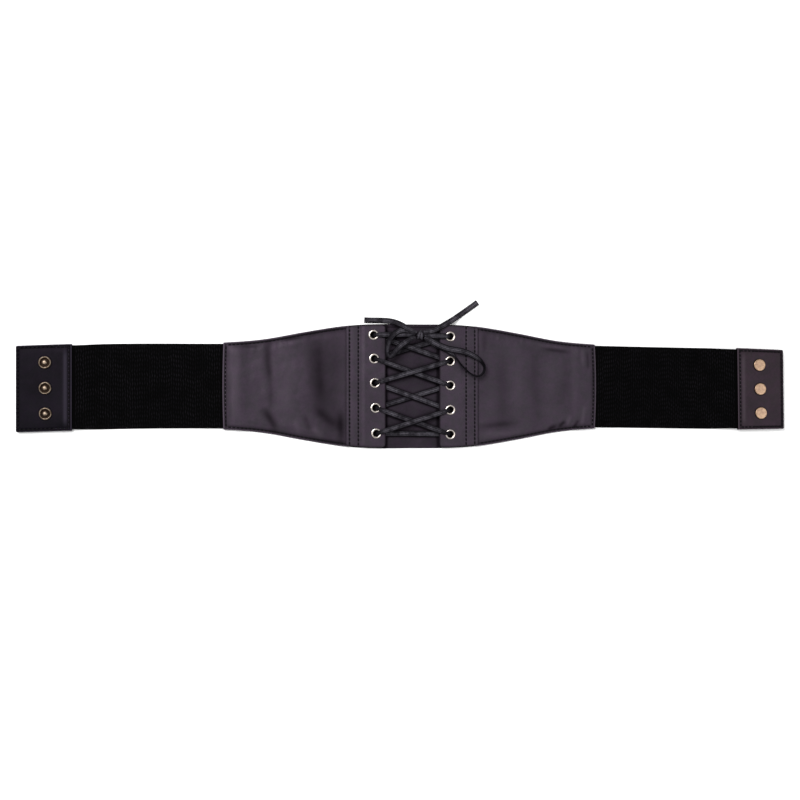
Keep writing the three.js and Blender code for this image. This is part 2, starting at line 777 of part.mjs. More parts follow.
// The order in which the lace passes the eyelets, from the knot down one way and back up the other.
// It goes down through the first and up through the next. over says which way a stretch gives way
// where two of them cross, and is for the stretch that follows the eyelet.
const lacingOrder = [
  { side: left, row: 0, over: 1 },
  { side: right, row: 1, over: 1 },
  { side: left, row: 2, over: 1 },
  { side: right, row: 3, over: 1 },
  { side: left, row: 4, over: 0 },
  { side: right, row: 4, over: -1 },
  { side: left, row: 3, over: -1 },
  { side: right, row: 2, over: -1 },
  { side: left, row: 1, over: -1 },
  { side: right, row: 0, over: 0 },
];
const laceStart = { x: 2.2, y: 46.6 };
const laceEnd = { x: 10.6, y: 45.6 };
const laceWidthAtKnot = 3;

// A level direction from one point to another
function heading(from, to) {
  return new THREE.Vector3(to.x - from.x, to.y - from.y, 0).normalize();
}

// The direction of the lace's width on a level stretch, always up the belt
function widthUp(direction) {
  const up = new THREE.Vector3(-direction.y, direction.x, 0);
  return up.y < 0 ? up.negate() : up;
}

// The lace's quarter bend beside an eyelet, from level to upright, on the side of direction
function quarterBend(hole, direction, level, turnsUp) {
  return [0, 45, 90].map((degrees) => {
    const angle = THREE.MathUtils.degToRad(degrees);
    const out = laceBend * (1 - Math.sin(angle));
    const rise = laceBend * (1 - Math.cos(angle)) * (turnsUp ? 1 : -1);
    const at = new THREE.Vector3(hole.x, hole.y, level + rise).addScaledVector(direction, out);
    return { at, across: widthUp(direction), width: laceWidthInHole };
  });
}

// The stations between two eyelets. Where stretches cross, half of the room that they need is
// given by each on the front, and all of it by the upper one behind.
function stretchStations(from, to, level, over, isFront) {
  const room = laceWall + layerGap;
  const give = isFront ? (over * room) / 2 : Math.max(over, 0) * room;
  const outer = 0.2; // where the lace has its full width, and a fifth of the give too
  const inner = 0.37; // where it has all of the give
  const stops = [{ share: outer, give: outer * give }, { share: inner, give }];
  const mirrored = stops.map((stop) => ({ ...stop, share: 1 - stop.share })).reverse();
  const across = widthUp(heading(from, to));
  return [...stops, ...mirrored]
    .filter(({ share }) => over !== 0 || Math.min(share, 1 - share) === outer)
    .map((stop) => {
      const x = mix(from.x, to.x, stop.share);
      const y = mix(from.y, to.y, stop.share);
      return { at: new THREE.Vector3(x, y, level + stop.give), across, width: laceWidth };
    });
}

function lacedRun() {
  const holes = lacingOrder.map(({ side, row }) => {
    const { x, y } = eyeletPlaces(side)[row];
    return { x: x - side.hand * laceOffsetInHole, y };
  });
  const stops = [laceStart, ...holes, laceEnd];
  const endStation = (from, to, here) => ({
    at: new THREE.Vector3(here.x, here.y, frontLaceLevel),
    across: widthUp(heading(from, to)),
    width: laceWidthAtKnot,
  });
  const stations = [endStation(stops[0], stops[1], stops[0])];
  stations.push(...stretchStations(stops[0], stops[1], frontLaceLevel, 0, true));
  lacingOrder.forEach(({ over }, i) => {
    const hole = holes[i];
    const back = heading(hole, stops[i]);
    const onward = heading(hole, stops[i + 2]);
    const goesDown = i % 2 === 0;
    const [arriveLevel, leaveLevel] = goesDown
      ? [frontLaceLevel, backLaceLevel]
      : [backLaceLevel, frontLaceLevel];
    stations.push(...quarterBend(hole, back, arriveLevel, !goesDown));
    stations.push(...quarterBend(hole, onward, leaveLevel, goesDown).reverse());
    stations.push(...stretchStations(hole, stops[i + 2], leaveLevel, over, !goesDown));
  });
  stations.push(endStation(stops.at(-2), stops.at(-1), stops.at(-1)));
  return ribbon(stations);
}

function bowKnot() {
  const ball = new THREE.SphereGeometry(0.5, 12, 8);
  ball.scale(knotLength, knotWidth, knotHeight);
  ball.rotateZ(THREE.MathUtils.degToRad(knotTurn));
  return reshape(ball, (p) => p);
}

// Materials
function finish(color, roughness, metalness) {
  return new THREE.MeshStandardMaterial({ color, roughness, metalness });
}
const finishes = {
  leather: () => finish(0x453c46, 0.5, 0),
  elastic: () => finish(0x0e0e10, 0.95, 0),
  lace: () => finish(0x2c2d2f, 0.8, 0),
  paleBrass: () => finish(0xd8cdbc, 0.3, 1),
  antiqueBrass: () => finish(0xa88a70, 0.35, 1),
};

function piece(name, geometry, material, x = 0, y = 0, z = 0) {
  const mesh = new THREE.Mesh(geometry, material);
  mesh.name = name;
  mesh.position.set(x, y, z);
  return mesh;
}

function half(side) {
  const group = new THREE.Group();
  group.add(piece(`panel_${side.name}`, sidePanel(side), finishes.leather()));
  group.add(piece(`lacing_strip_${side.name}`, lacingStrip(side), finishes.leather()));
  group.add(piece(`elastic_${side.name}`, elastic(side), finishes.elastic()));
  eyeletPlaces(side).forEach(({ x, y }, i) => {
    group.add(piece(`eyelet_${side.name}_${i + 1}`, eyelet(), finishes.paleBrass(), x, y));
  });
  return group;
}

function studTab() {
  const group = new THREE.Group();
  const distance = left.end - studSetback;
  const holeDiameter = shankDiameter + 2 * rimGap;
  const front = tabBaseLeft + endWall + rimGap;
  group.add(piece('tab_left', tab(left, distance, holeDiameter), finishes.leather()));
  snapPlaces(left, distance).forEach(({ x, y }, i) => {
    group.add(piece(`snap_stud_${i + 1}`, snapStud(), finishes.antiqueBrass(), x, y, front));
    group.add(piece(`snap_post_${i + 1}`, snapPost(), finishes.antiqueBrass(), x, y));
  });
  return group;
}

function capTab() {
  const group = new THREE.Group();
  const distance = right.end - capSetback;
  const holeDiameter = shankDiameter + 2 * rimGap;
  const front = tabBaseRight + endWall + rimGap;
  group.add(piece('tab_right', tab(right, distance, holeDiameter), finishes.leather()));
  snapPlaces(right, distance).forEach(({ x, y }, i) => {
    group.add(piece(`snap_cap_${i + 1}`, snapCap(), finishes.antiqueBrass(), x, y, front));
    group.add(piece(`snap_socket_${i + 1}`, snapSocket(), finishes.antiqueBrass(), x, y));
  });
  return group;
}

function bow() {
  const group = new THREE.Group();
  const { x, y, z } = knotCentre;
  group.add(piece('bow_knot', bowKnot(), finishes.lace(), x, y, z));
  const routes = {
    bow_loop_left: { route: loopLeftRoute, count: 22 },
    bow_loop_right: { route: loopRightRoute, count: 34 },
    lace_tail_left: { route: tailLeftRoute, count: 12 },
    lace_tail_right: { route: tailRightRoute, count: 13 },
  };
  Object.entries(routes).forEach(([name, { route, count }]) => {
    group.add(piece(name, ribbon(routeStations(route, count)), finishes.lace()));
  });
  return group;
}

const corsetBelt = new THREE.Group();
corsetBelt.add(piece('modesty_panel', modestyPanel(), finishes.leather()));
corsetBelt.add(half(left), half(right), studTab(), capTab());
corsetBelt.add(piece('lace', lacedRun(), finishes.lace()));
corsetBelt.add(bow());

export default corsetBelt;
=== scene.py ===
# A corset belt laid on a pale floor: grained leather panels with stitched borders, ribbed elastic,
# metal eyelets and snaps, and a flat woven lace tied in a bow.
# Sizes are millimetres in the frame's axes, and each piece of the belt is scaled to metres once.
# Materials, the floor and the lights are in metres from the start.
import math

import bmesh
import bpy
from mathutils import Matrix, Quaternion, Vector, noise


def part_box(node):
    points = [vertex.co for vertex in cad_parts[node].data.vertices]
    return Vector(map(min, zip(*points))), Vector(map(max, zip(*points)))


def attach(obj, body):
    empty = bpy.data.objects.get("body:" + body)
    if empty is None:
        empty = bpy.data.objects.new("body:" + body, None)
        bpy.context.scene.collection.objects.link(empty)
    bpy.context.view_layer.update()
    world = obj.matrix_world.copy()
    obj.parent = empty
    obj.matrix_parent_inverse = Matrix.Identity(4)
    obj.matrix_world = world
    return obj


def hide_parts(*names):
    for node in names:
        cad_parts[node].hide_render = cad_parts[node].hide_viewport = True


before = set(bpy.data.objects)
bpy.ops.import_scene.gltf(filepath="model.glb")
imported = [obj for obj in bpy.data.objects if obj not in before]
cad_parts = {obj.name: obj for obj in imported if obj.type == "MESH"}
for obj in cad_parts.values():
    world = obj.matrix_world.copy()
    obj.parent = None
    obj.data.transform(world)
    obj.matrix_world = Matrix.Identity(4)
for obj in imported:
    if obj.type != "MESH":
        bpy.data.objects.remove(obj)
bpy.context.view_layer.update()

MM = 0.001
BODY = "root"


def node_box(name):
    """Lowest and highest corner of a CAD node, in millimetres."""
    low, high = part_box(name)
    return Vector(low) / MM, Vector(high) / MM


def node_middle(name):
    low, high = node_box(name)
    return (low + high) / 2


# Places along the belt, as distances from its middle, and the length of a tuck
STRIP_INNER = node_box("lacing_strip_right")[0].x
STRIP_OUTER = node_box("lacing_strip_right")[1].x
PANEL_INNER = node_box("panel_right")[0].x
PANEL_OUTER = node_box("panel_right")[1].x
MODESTY_REACH = node_box("modesty_panel")[1].x
TUCK = STRIP_OUTER - PANEL_INNER
END_LEFT = PANEL_OUTER + 178.0
END_RIGHT = PANEL_OUTER + 179.4

# Heights across the belt
MIDDLE_HALF = 56.0
END_HALF = 38.7
ELASTIC_HALF = 37.5
ELASTIC_DRAW_IN = 0.7
TAB_HALF = 38.0
STRIP_INSET = 1.1
TUCK_INSET = 2.2
STRIP_CORNER = 4.0
TAB_CORNER = 1.4

# Thicknesses and levels
LAYER_GAP = 0.3
RIM_GAP = 0.2
MODESTY_WALL = node_box("modesty_panel")[1].z
STRIP_SEWN_BASE = node_box("lacing_strip_right")[0].z
STRIP_WALL = 1.6
STRIP_LIFTED_BASE = node_box("lacing_strip_right")[1].z - STRIP_WALL
PANEL_TUCK_WALL = 1.1
PANEL_WALL = 2.6
SKIN_WALL = 1.0
ELASTIC_WALL = 1.4
END_WALL = 2 * (SKIN_WALL + LAYER_GAP) + ELASTIC_WALL

# The lace
LACE_WIDTH = 5.0
LACE_WALL = 1.1
LACE_WIDTH_IN_HOLE = 3.6
LACE_WIDTH_AT_KNOT = 3.0
LACE_BEND = 1.3
LACE_OFFSET_IN_HOLE = 0.55
KNOT_TURN = -8.0
LACE_START = (2.2, 46.6)
LACE_END = (10.6, 45.6)
EYELET_TOP = node_box("eyelet_right_1")[1].z
EYELET_BASE = node_box("eyelet_right_1")[0].z
FRONT_LACE_LEVEL = EYELET_TOP + LAYER_GAP + LACE_WALL / 2
BACK_LACE_LEVEL = MODESTY_WALL + LAYER_GAP + LACE_WALL / 2
EYELET_HOLE = 5.0
EYELET_BARREL = 5.8
EYELET_RIM = 9.0
EYELET_ROWS = 5

# Stitches
STITCH_PITCH = 3.6
STITCH_LENGTH = 2.6
STITCH_THICKNESS = 1.5
STITCH_RISE = 0.3
STITCH_BORDER = 2.4
STRIP_SEAMS = (56.8, 48.9)

# The belt's outline: along runs from a panel's outer end (0) to the middle (1)
OUTLINE_TABLE = [
    {"along": 0.0, "rise": 0.0},
    {"along": 0.12, "rise": 0.08},
    {"along": 0.24, "rise": 0.22},
    {"along": 0.42, "rise": 0.55},
    {"along": 0.61, "rise": 0.855},
    {"along": 0.77, "rise": 0.985},
    {"along": 1.0, "rise": 1.0},
]

# The wings' sag: along runs from a panel's outer end (0) to the belt's end (1)
SAG_TABLE_LEFT = [
    {"along": 0.0, "sag": 0.0},
    {"along": 0.41, "sag": 0.06},
    {"along": 0.73, "sag": 0.46},
    {"along": 1.0, "sag": 1.0},
]
SAG_TABLE_RIGHT = [
    {"along": 0.0, "sag": 0.0},
    {"along": 0.38, "sag": 0.46},
    {"along": 0.75, "sag": 0.82},
    {"along": 1.0, "sag": 1.0},
]

# The panels' soft folds: at is a fold's middle as distance along the belt and height, way its direction in
# degrees from along the belt outwards, long and wide its half sizes, and tone how deep and dark a hollow it
# is (above 0), with painted shade, or how high and light a ridge (below 0), with a painted highlight
FOLDS_LEFT = [
    {"at": (129, 24), "way": 90, "long": 16, "wide": 3.4, "tone": 0.6},
    {"at": (127, -4), "way": 88, "long": 17, "wide": 3.0, "tone": 0.34},
    {"at": (127.5, -30), "way": 56, "long": 11, "wide": 4.0, "tone": 0.75},
    {"at": (87, 12), "way": 86, "long": 38, "wide": 9.0, "tone": 0.5},
    {"at": (82.5, 14), "way": 88, "long": 24, "wide": 4.0, "tone": 0.2},
    {"at": (71, 2), "way": 90, "long": 60, "wide": 13.0, "tone": 0.42},
    {"at": (77, -29), "way": 37, "long": 14, "wide": 4.4, "tone": 0.4},
    {"at": (64.5, -38), "way": 90, "long": 14, "wide": 3.4, "tone": 0.5},
    {"at": (94.5, -34), "way": 70, "long": 8, "wide": 3.0, "tone": 0.45},
    {"at": (85, -42), "way": 50, "long": 6, "wide": 3.6, "tone": -0.6},
    {"at": (103, -38), "way": 80, "long": 7, "wide": 3.0, "tone": -0.35},
    {"at": (144, 35), "way": 0, "long": 8, "wide": 1.3, "tone": 0.35},
    {"at": (108, 42), "way": -8, "long": 9, "wide": 1.6, "tone": 0.45},
    {"at": (159, 2), "way": 90, "long": 28, "wide": 4.0, "tone": -0.4},
    {"at": (161, 32), "way": 30, "long": 6, "wide": 3.0, "tone": -0.5},
    {"at": (112, 6), "way": 90, "long": 30, "wide": 7.0, "tone": -0.3},
]
FOLDS_RIGHT = [
    {"at": (133, 33), "way": -6, "long": 12, "wide": 1.9, "tone": 0.6},
    {"at": (129, 37), "way": -8, "long": 12, "wide": 2.0, "tone": -0.4},
    {"at": (157, 27), "way": 90, "long": 8, "wide": 1.6, "tone": -0.5},
    {"at": (161.5, 24), "way": 90, "long": 8, "wide": 1.5, "tone": 0.5},
    {"at": (138, -34.5), "way": 35, "long": 4, "wide": 1.9, "tone": 0.8},
    {"at": (129, -37), "way": 20, "long": 4.5, "wide": 1.8, "tone": 0.7},
    {"at": (151, -34), "way": 60, "long": 4, "wide": 1.6, "tone": 0.7},
    {"at": (144, -31), "way": 70, "long": 4.5, "wide": 1.8, "tone": -0.5},
    {"at": (157.5, -27), "way": 85, "long": 9, "wide": 1.8, "tone": -0.5},
    {"at": (78, -35), "way": 6, "long": 17, "wide": 3.0, "tone": 0.5},
    {"at": (80, -43), "way": 4, "long": 18, "wide": 2.4, "tone": -0.4},
    {"at": (82, -2), "way": 90, "long": 32, "wide": 6.5, "tone": 0.3},
    {"at": (97, 0), "way": 90, "long": 34, "wide": 5.5, "tone": -0.22},
    {"at": (113, 2), "way": 92, "long": 34, "wide": 5.0, "tone": 0.28},
    {"at": (127, -4), "way": 90, "long": 30, "wide": 6.0, "tone": -0.2},
    {"at": (141, 6), "way": 88, "long": 22, "wide": 5.0, "tone": 0.2},
    {"at": (66, 40), "way": 90, "long": 9, "wide": 3.0, "tone": 0.4},
]

LEFT = {
    "name": "left",
    "hand": -1,
    "sag": 2.9,
    "slant": 0.0,
    "sag_table": SAG_TABLE_LEFT,
    "folds": FOLDS_LEFT,
    "tab": node_box("tab_left"),
    "end": END_LEFT,
    "tab_start": END_LEFT - 47.5,
    "tab_end_half": 37.7,
    "end_bow": 0.8,
    "seed": 3.0,
}
RIGHT = {
    "name": "right",
    "hand": 1,
    "sag": 2.4,
    "slant": 0.013,
    "sag_table": SAG_TABLE_RIGHT,
    "folds": FOLDS_RIGHT,
    "tab": node_box("tab_right"),
    "end": END_RIGHT,
    "tab_start": END_RIGHT - 44.6,
    "tab_end_half": 36.9,
    "end_bow": 1.2,
    "seed": 11.0,
}

# The free lace's routes as they lie, x, y, z in millimetres, lean in degrees from flat to on edge
TAIL_LEFT_ROUTE = [
    {"x": 3.0, "y": 48.0, "z": 10.2, "lean": 5, "width": 2.8},
    {"x": -0.6, "y": 49.3, "z": 10.9, "lean": 6, "width": 3.6},
    {"x": -4.0, "y": 51.0, "z": 11.0, "lean": 8, "width": 4.3},
    {"x": -7.2, "y": 52.9, "z": 10.7, "lean": 8, "width": 4.7},
    {"x": -10.4, "y": 54.8, "z": 9.9, "lean": 7, "width": 5.0},
    {"x": -13.6, "y": 56.4, "z": 8.3, "lean": 5, "width": 5.0},
    {"x": -17.0, "y": 57.7, "z": 6.2, "lean": 3, "width": 5.0},
    {"x": -20.4, "y": 58.6, "z": 4.1, "lean": 1, "width": 5.0},
    {"x": -24.0, "y": 59.1, "z": 2.2, "lean": 0, "width": 5.0},
    {"x": -27.6, "y": 59.3, "z": 1.1, "lean": 0, "width": 5.0},
    {"x": -31.0, "y": 59.4, "z": 0.8, "lean": 0, "width": 5.0},
    {"x": -34.2, "y": 59.4, "z": 0.7, "lean": 0, "width": 5.0},
    {"x": -37.4, "y": 59.4, "z": 0.7, "lean": 0, "width": 5.0},
    {"x": -40.4, "y": 59.5, "z": 0.7, "lean": 0, "width": 5.0},
    {"x": -43.3, "y": 59.6, "z": 0.7, "lean": 0, "width": 5.0},
]
TAIL_RIGHT_ROUTE = [
    {"x": 9.4, "y": 48.9, "z": 9.0, "lean": 5, "width": 2.8},
    {"x": 13.8, "y": 49.2, "z": 8.9, "lean": 8, "width": 3.8},
    {"x": 18.8, "y": 50.4, "z": 8.8, "lean": 10, "width": 4.6},
    {"x": 23.9, "y": 52.8, "z": 8.3, "lean": 10, "width": 5.0},
    {"x": 28.8, "y": 55.6, "z": 7.3, "lean": 8, "width": 5.0},
    {"x": 32.8, "y": 57.9, "z": 5.8, "lean": 5, "width": 5.0},
    {"x": 36.4, "y": 60.0, "z": 4.0, "lean": 3, "width": 5.0},
    {"x": 39.8, "y": 62.2, "z": 2.5, "lean": 1, "width": 5.0},
    {"x": 43.0, "y": 64.4, "z": 1.4, "lean": 0, "width": 5.0},
    {"x": 46.1, "y": 66.5, "z": 0.9, "lean": 0, "width": 5.0},
    {"x": 49.2, "y": 68.7, "z": 0.7, "lean": 0, "width": 5.0},
    {"x": 52.2, "y": 70.8, "z": 0.7, "lean": 0, "width": 5.0},
    {"x": 55.0, "y": 72.8, "z": 0.7, "lean": 0, "width": 5.0},
    {"x": 57.5, "y": 74.6, "z": 0.7, "lean": 0, "width": 5.0},
    {"x": 59.9, "y": 76.4, "z": 0.7, "lean": 0, "width": 5.0},
]
LOOP_LEFT_ROUTE = [
    {"x": 1.8, "y": 48.0, "z": 8.5, "lean": 0, "width": 3.0},
    {"x": -3.0, "y": 49.7, "z": 8.5, "lean": -2, "width": 4.2},
    {"x": -8.2, "y": 50.6, "z": 8.5, "lean": -5, "width": 5.0},
    {"x": -12.9, "y": 49.4, "z": 8.8, "lean": -14, "width": 5.3},
    {"x": -17.0, "y": 46.7, "z": 9.2, "lean": -24, "width": 5.5},
    {"x": -20.2, "y": 42.9, "z": 9.5, "lean": -32, "width": 5.5},
    {"x": -22.3, "y": 38.3, "z": 9.6, "lean": -35, "width": 5.5},
    {"x": -23.3, "y": 33.4, "z": 9.3, "lean": -38, "width": 5.5},
    {"x": -23.1, "y": 29.2, "z": 9.2, "lean": -40, "width": 5.4},
    {"x": -21.0, "y": 26.6, "z": 9.2, "lean": -40, "width": 5.2},
    {"x": -18.2, "y": 28.2, "z": 9.1, "lean": -34, "width": 5.4},
    {"x": -15.4, "y": 31.9, "z": 9.3, "lean": -26, "width": 5.7},
    {"x": -11.8, "y": 35.7, "z": 9.3, "lean": -18, "width": 5.6},
    {"x": -7.7, "y": 39.0, "z": 9.2, "lean": -10, "width": 5.3},
    {"x": -3.6, "y": 41.5, "z": 9.0, "lean": -8, "width": 4.6},
    {"x": -0.2, "y": 43.0, "z": 8.8, "lean": -4, "width": 3.6},
    {"x": 2.4, "y": 43.7, "z": 8.6, "lean": 0, "width": 2.8},
]
LOOP_RIGHT_ROUTE = [
    {"x": 10.4, "y": 43.9, "z": 8.6, "lean": 0, "width": 3.0},
    {"x": 15.2, "y": 41.3, "z": 9.1, "lean": 4, "width": 4.2},
    {"x": 20.7, "y": 38.3, "z": 9.6, "lean": 6, "width": 5.2},
    {"x": 26.2, "y": 35.6, "z": 9.9, "lean": 8, "width": 5.6},
    {"x": 31.8, "y": 33.7, "z": 10.0, "lean": 8, "width": 5.6},
    {"x": 37.8, "y": 32.6, "z": 10.0, "lean": 8, "width": 5.6},
    {"x": 43.4, "y": 31.7, "z": 9.8, "lean": 10, "width": 5.6},
    {"x": 48.9, "y": 30.1, "z": 9.4, "lean": 16, "width": 5.4},
    {"x": 54.2, "y": 27.8, "z": 9.0, "lean": 28, "width": 5.2},
    {"x": 58.9, "y": 25.2, "z": 8.6, "lean": 45, "width": 5.0},
    {"x": 62.6, "y": 21.9, "z": 8.1, "lean": 62, "width": 5.0},
    {"x": 65.0, "y": 17.4, "z": 7.7, "lean": 75, "width": 5.0},
    {"x": 64.2, "y": 12.6, "z": 7.7, "lean": 78, "width": 5.0},
    {"x": 60.6, "y": 9.4, "z": 7.8, "lean": 78, "width": 5.0},
    {"x": 56.1, "y": 9.5, "z": 8.1, "lean": 78, "width": 5.0},
    {"x": 51.6, "y": 12.0, "z": 8.2, "lean": 76, "width": 5.0},
    {"x": 47.5, "y": 15.6, "z": 8.3, "lean": 75, "width": 5.0},
    {"x": 43.4, "y": 19.9, "z": 8.4, "lean": 74, "width": 5.0},
    {"x": 39.6, "y": 24.7, "z": 8.6, "lean": 68, "width": 5.0},
    {"x": 36.0, "y": 28.8, "z": 8.2, "lean": 42, "width": 5.0},
    {"x": 32.0, "y": 32.0, "z": 7.3, "lean": 14, "width": 5.0},
    {"x": 27.0, "y": 34.3, "z": 7.0, "lean": 4, "width": 5.0},
    {"x": 21.6, "y": 36.8, "z": 7.0, "lean": 0, "width": 4.6},
    {"x": 16.0, "y": 39.7, "z": 7.0, "lean": 0, "width": 3.8},
    {"x": 11.4, "y": 42.2, "z": 7.0, "lean": 0, "width": 2.8},
]


# Small sums
def mix(a, b, t):
    return a + (b - a) * t


def clamp(value, low=0.0, high=1.0):
    return max(low, min(high, value))


def smooth(value, low, high):
    """0 below low, 1 above high and an even rise between."""
    t = clamp((value - low) / (high - low))
    return t * t * (3 - 2 * t)


def hump(value, middle, spread):
    return math.exp(-(((value - middle) / spread) ** 2))


def steps(start, end, size):
    """Values from start to end, about size apart, with both ends."""
    count = max(1, round(abs(end - start) / size))
    return [mix(start, end, i / count) for i in range(count + 1)]


def tidy(values, hair=0.03):
    kept = []
    for value in sorted(values):
        if not kept or value - kept[-1] > hair:
            kept.append(value)
    return kept


def table_curve(table, column_from, column_to):
    """A smooth curve through two columns of a table."""
    keys = [row[column_from] for row in table]
    values = [row[column_to] for row in table]
    last = len(keys) - 1

    def slope(i):
        a, b = max(i - 1, 0), min(i + 1, last)
        return (values[b] - values[a]) / (keys[b] - keys[a])

    def curve(at):
        at = clamp(at, keys[0], keys[-1])
        i = min(max(k for k in range(last + 1) if keys[k] <= at), last - 1)
        span = keys[i + 1] - keys[i]
        t = (at - keys[i]) / span
        rest = 1 - t
        ends = values[i] * (1 + 2 * t) * rest * rest + values[i + 1] * (3 - 2 * t) * t * t
        return ends + span * t * rest * (slope(i) * rest - slope(i + 1) * t)

    return curve


outline_rise = table_curve(OUTLINE_TABLE, "along", "rise")


def outline_half(distance):
    return mix(END_HALF, MIDDLE_HALF, outline_rise(1 - abs(distance) / PANEL_OUTER))


def wing_drop(side):
    share = table_curve(side["sag_table"], "along", "sag")
    return lambda distance: side["sag"] * share((distance - PANEL_OUTER) / (side["end"] - PANEL_OUTER))


def end_slant(side):
    """How far the belt leans at a distance from its middle: X moves back by this share of Y."""
    return lambda distance: side["slant"] * smooth(distance, PANEL_OUTER, side["tab_start"])


def corner_cut(inward, radius):
    short = max(radius - inward, 0)
    return radius - math.sqrt(max(radius * radius - short * short, 0))


# Camera: above the belt, a little to its left, so that its left half is nearer
PHOTO_SIZE = 800
CAMERA_DISTANCE = 998.85
CAMERA_YAW = math.asin(0.105)
CAMERA_FOCAL = 1105.1
CAMERA_AIM = Vector((-10.92, -12.4, 0))
SENSOR = 36.0


def make_camera():
    data = bpy.data.cameras.new("camera")
    data.sensor_width = SENSOR
    data.lens = CAMERA_FOCAL / PHOTO_SIZE * SENSOR
    data.clip_start = 0.01
    data.clip_end = 20
    camera = bpy.data.objects.new("camera", data)
    bpy.context.scene.collection.objects.link(camera)
    back = Vector((-math.sin(CAMERA_YAW), 0, math.cos(CAMERA_YAW)))
    camera.location = (CAMERA_AIM + back * CAMERA_DISTANCE) * MM
    camera.rotation_euler = (0, -CAMERA_YAW, 0)
    bpy.context.scene.camera = camera


make_camera()


# Materials
def srgb(red, green, blue):
    """A colour given as 0 to 255 on screen, in the renderer's own linear numbers."""
    channels = [c / 255 for c in (red, green, blue)]
    return [c / 12.92 if c <= 0.04045 else ((c + 0.055) / 1.055) ** 2.4 for c in channels] + [1.0]


class Finish:
    """A material under way: a surface shader and short calls that wire nodes to it."""

    def __init__(self, name, **sockets):
        self.material = bpy.data.materials.new(name)
        self.material.use_nodes = True
        self.tree = self.material.node_tree
        self.shader = self.tree.nodes["Principled BSDF"]
        for socket, value in sockets.items():
            self.shader.inputs[socket.replace("_", " ")].default_value = value

    def node(self, kind, inputs=None, **settings):
        node = self.tree.nodes.new("ShaderNode" + kind)
        for setting, value in settings.items():
            setattr(node, setting, value)
        for socket, value in (inputs or {}).items():
            self.feed(node.inputs[socket], value)
        return node

    def feed(self, socket, value):
        if isinstance(value, bpy.types.NodeSocket):
            self.tree.links.new(value, socket)
        else:
            socket.default_value = value

    def place(self):
        return self.node("TexCoord").outputs["Object"]

    def attribute(self, name):
        return self.node("Attribute", attribute_name=name).outputs["Fac"]

    def math(self, operation, a, b=0.0, c=0.0, clamped=False):
        return self.node("Math", {0: a, 1: b, 2: c}, operation=operation, use_clamp=clamped).outputs[0]

    def noise(self, vector, scale, detail=3.0, roughness=0.5):
        inputs = {"Vector": vector, "Scale": scale, "Detail": detail, "Roughness": roughness}
        return self.node("TexNoise", inputs).outputs["Fac"]

    def remap(self, value, from_low, from_high, to_low, to_high):
        inputs = {0: value, 1: from_low, 2: from_high, 3: to_low, 4: to_high}
        return self.node("MapRange", inputs).outputs[0]

    def blend(self, share, a, b):
        node = self.node("Mix", data_type="RGBA")
        self.feed(node.inputs[0], share)
        self.feed(node.inputs[6], a)
        self.feed(node.inputs[7], b)
        return node.outputs[2]

    def bump(self, height, distance, strength=1.0):
        inputs = {"Height": height, "Distance": distance, "Strength": strength}
        node = self.node("Bump", inputs)
        before = self.shader.inputs["Normal"]
        if before.is_linked:
            self.tree.links.new(before.links[0].from_socket, node.inputs["Normal"])
        self.tree.links.new(node.outputs[0], before)


LEATHER_TINT = (1.0, 0.74, 1.0, 1.0)


def leather_finish(name, light, dark, seam, highlight_and_wear, shine):
    """Grained leather: light and dark tones drift over it. It is darkened in its stitched seams, with
    painted shade in its seam grooves, border bands and fold hollows and beside the strips and laces, and
    painted highlights lie along its folded edges and fold ridges, partly as wear."""
    finish = Finish(name, Specular_Tint=LEATHER_TINT, Specular_IOR_Level=shine)
    seam_and_shade_share = finish.attribute("seam")
    place = finish.place()
    drift = finish.noise(place, 38.0, 4.0, 0.55)
    mottle = finish.noise(place, 420.0, 3.0, 0.6)
    tone = finish.math("MULTIPLY_ADD", mottle, 0.35, finish.math("MULTIPLY", drift, 0.8))
    body = finish.blend(finish.remap(tone, 0.38, 0.78, 0.0, 1.0), dark, light)
    green = finish.node("Mix", data_type="RGBA", blend_type="MULTIPLY")
    finish.feed(green.inputs[0], finish.remap(finish.noise(place, 170.0, 2.0, 0.5), 0.42, 0.58, 0.0, 1.0))
    finish.feed(green.inputs[6], body)
    finish.feed(green.inputs[7], (0.88, 1.0, 0.88, 1.0))
    # Painted highlight from the edge attribute: light along folded edges (partly wear), fold ridges and the
    # tabs' mouths
    wear_and_highlight = finish.blend(finish.attribute("edge"), green.outputs[2], highlight_and_wear)
    # Painted shade from the seam attribute: the seam colour in stitch grooves, border bands, fold hollows
    # and beside strips and laces
    finish.feed(finish.shader.inputs["Base Color"], finish.blend(seam_and_shade_share, wear_and_highlight, seam))
    rough = finish.remap(finish.noise(place, 160.0, 3.0, 0.6), 0.3, 0.7, 0.38, 0.5)
    rough = finish.math("MULTIPLY_ADD", seam_and_shade_share, 0.35, rough)
    finish.feed(finish.shader.inputs["Roughness"], rough)
    cells = finish.node("TexVoronoi", {"Vector": place, "Scale": 1500.0}, feature="DISTANCE_TO_EDGE")
    finish.bump(finish.math("MINIMUM", cells.outputs["Distance"], 0.12), 0.0004, 0.35)
    finish.bump(finish.noise(place, 900.0, 3.0, 0.6), 0.0002, 0.3)
    return finish.material


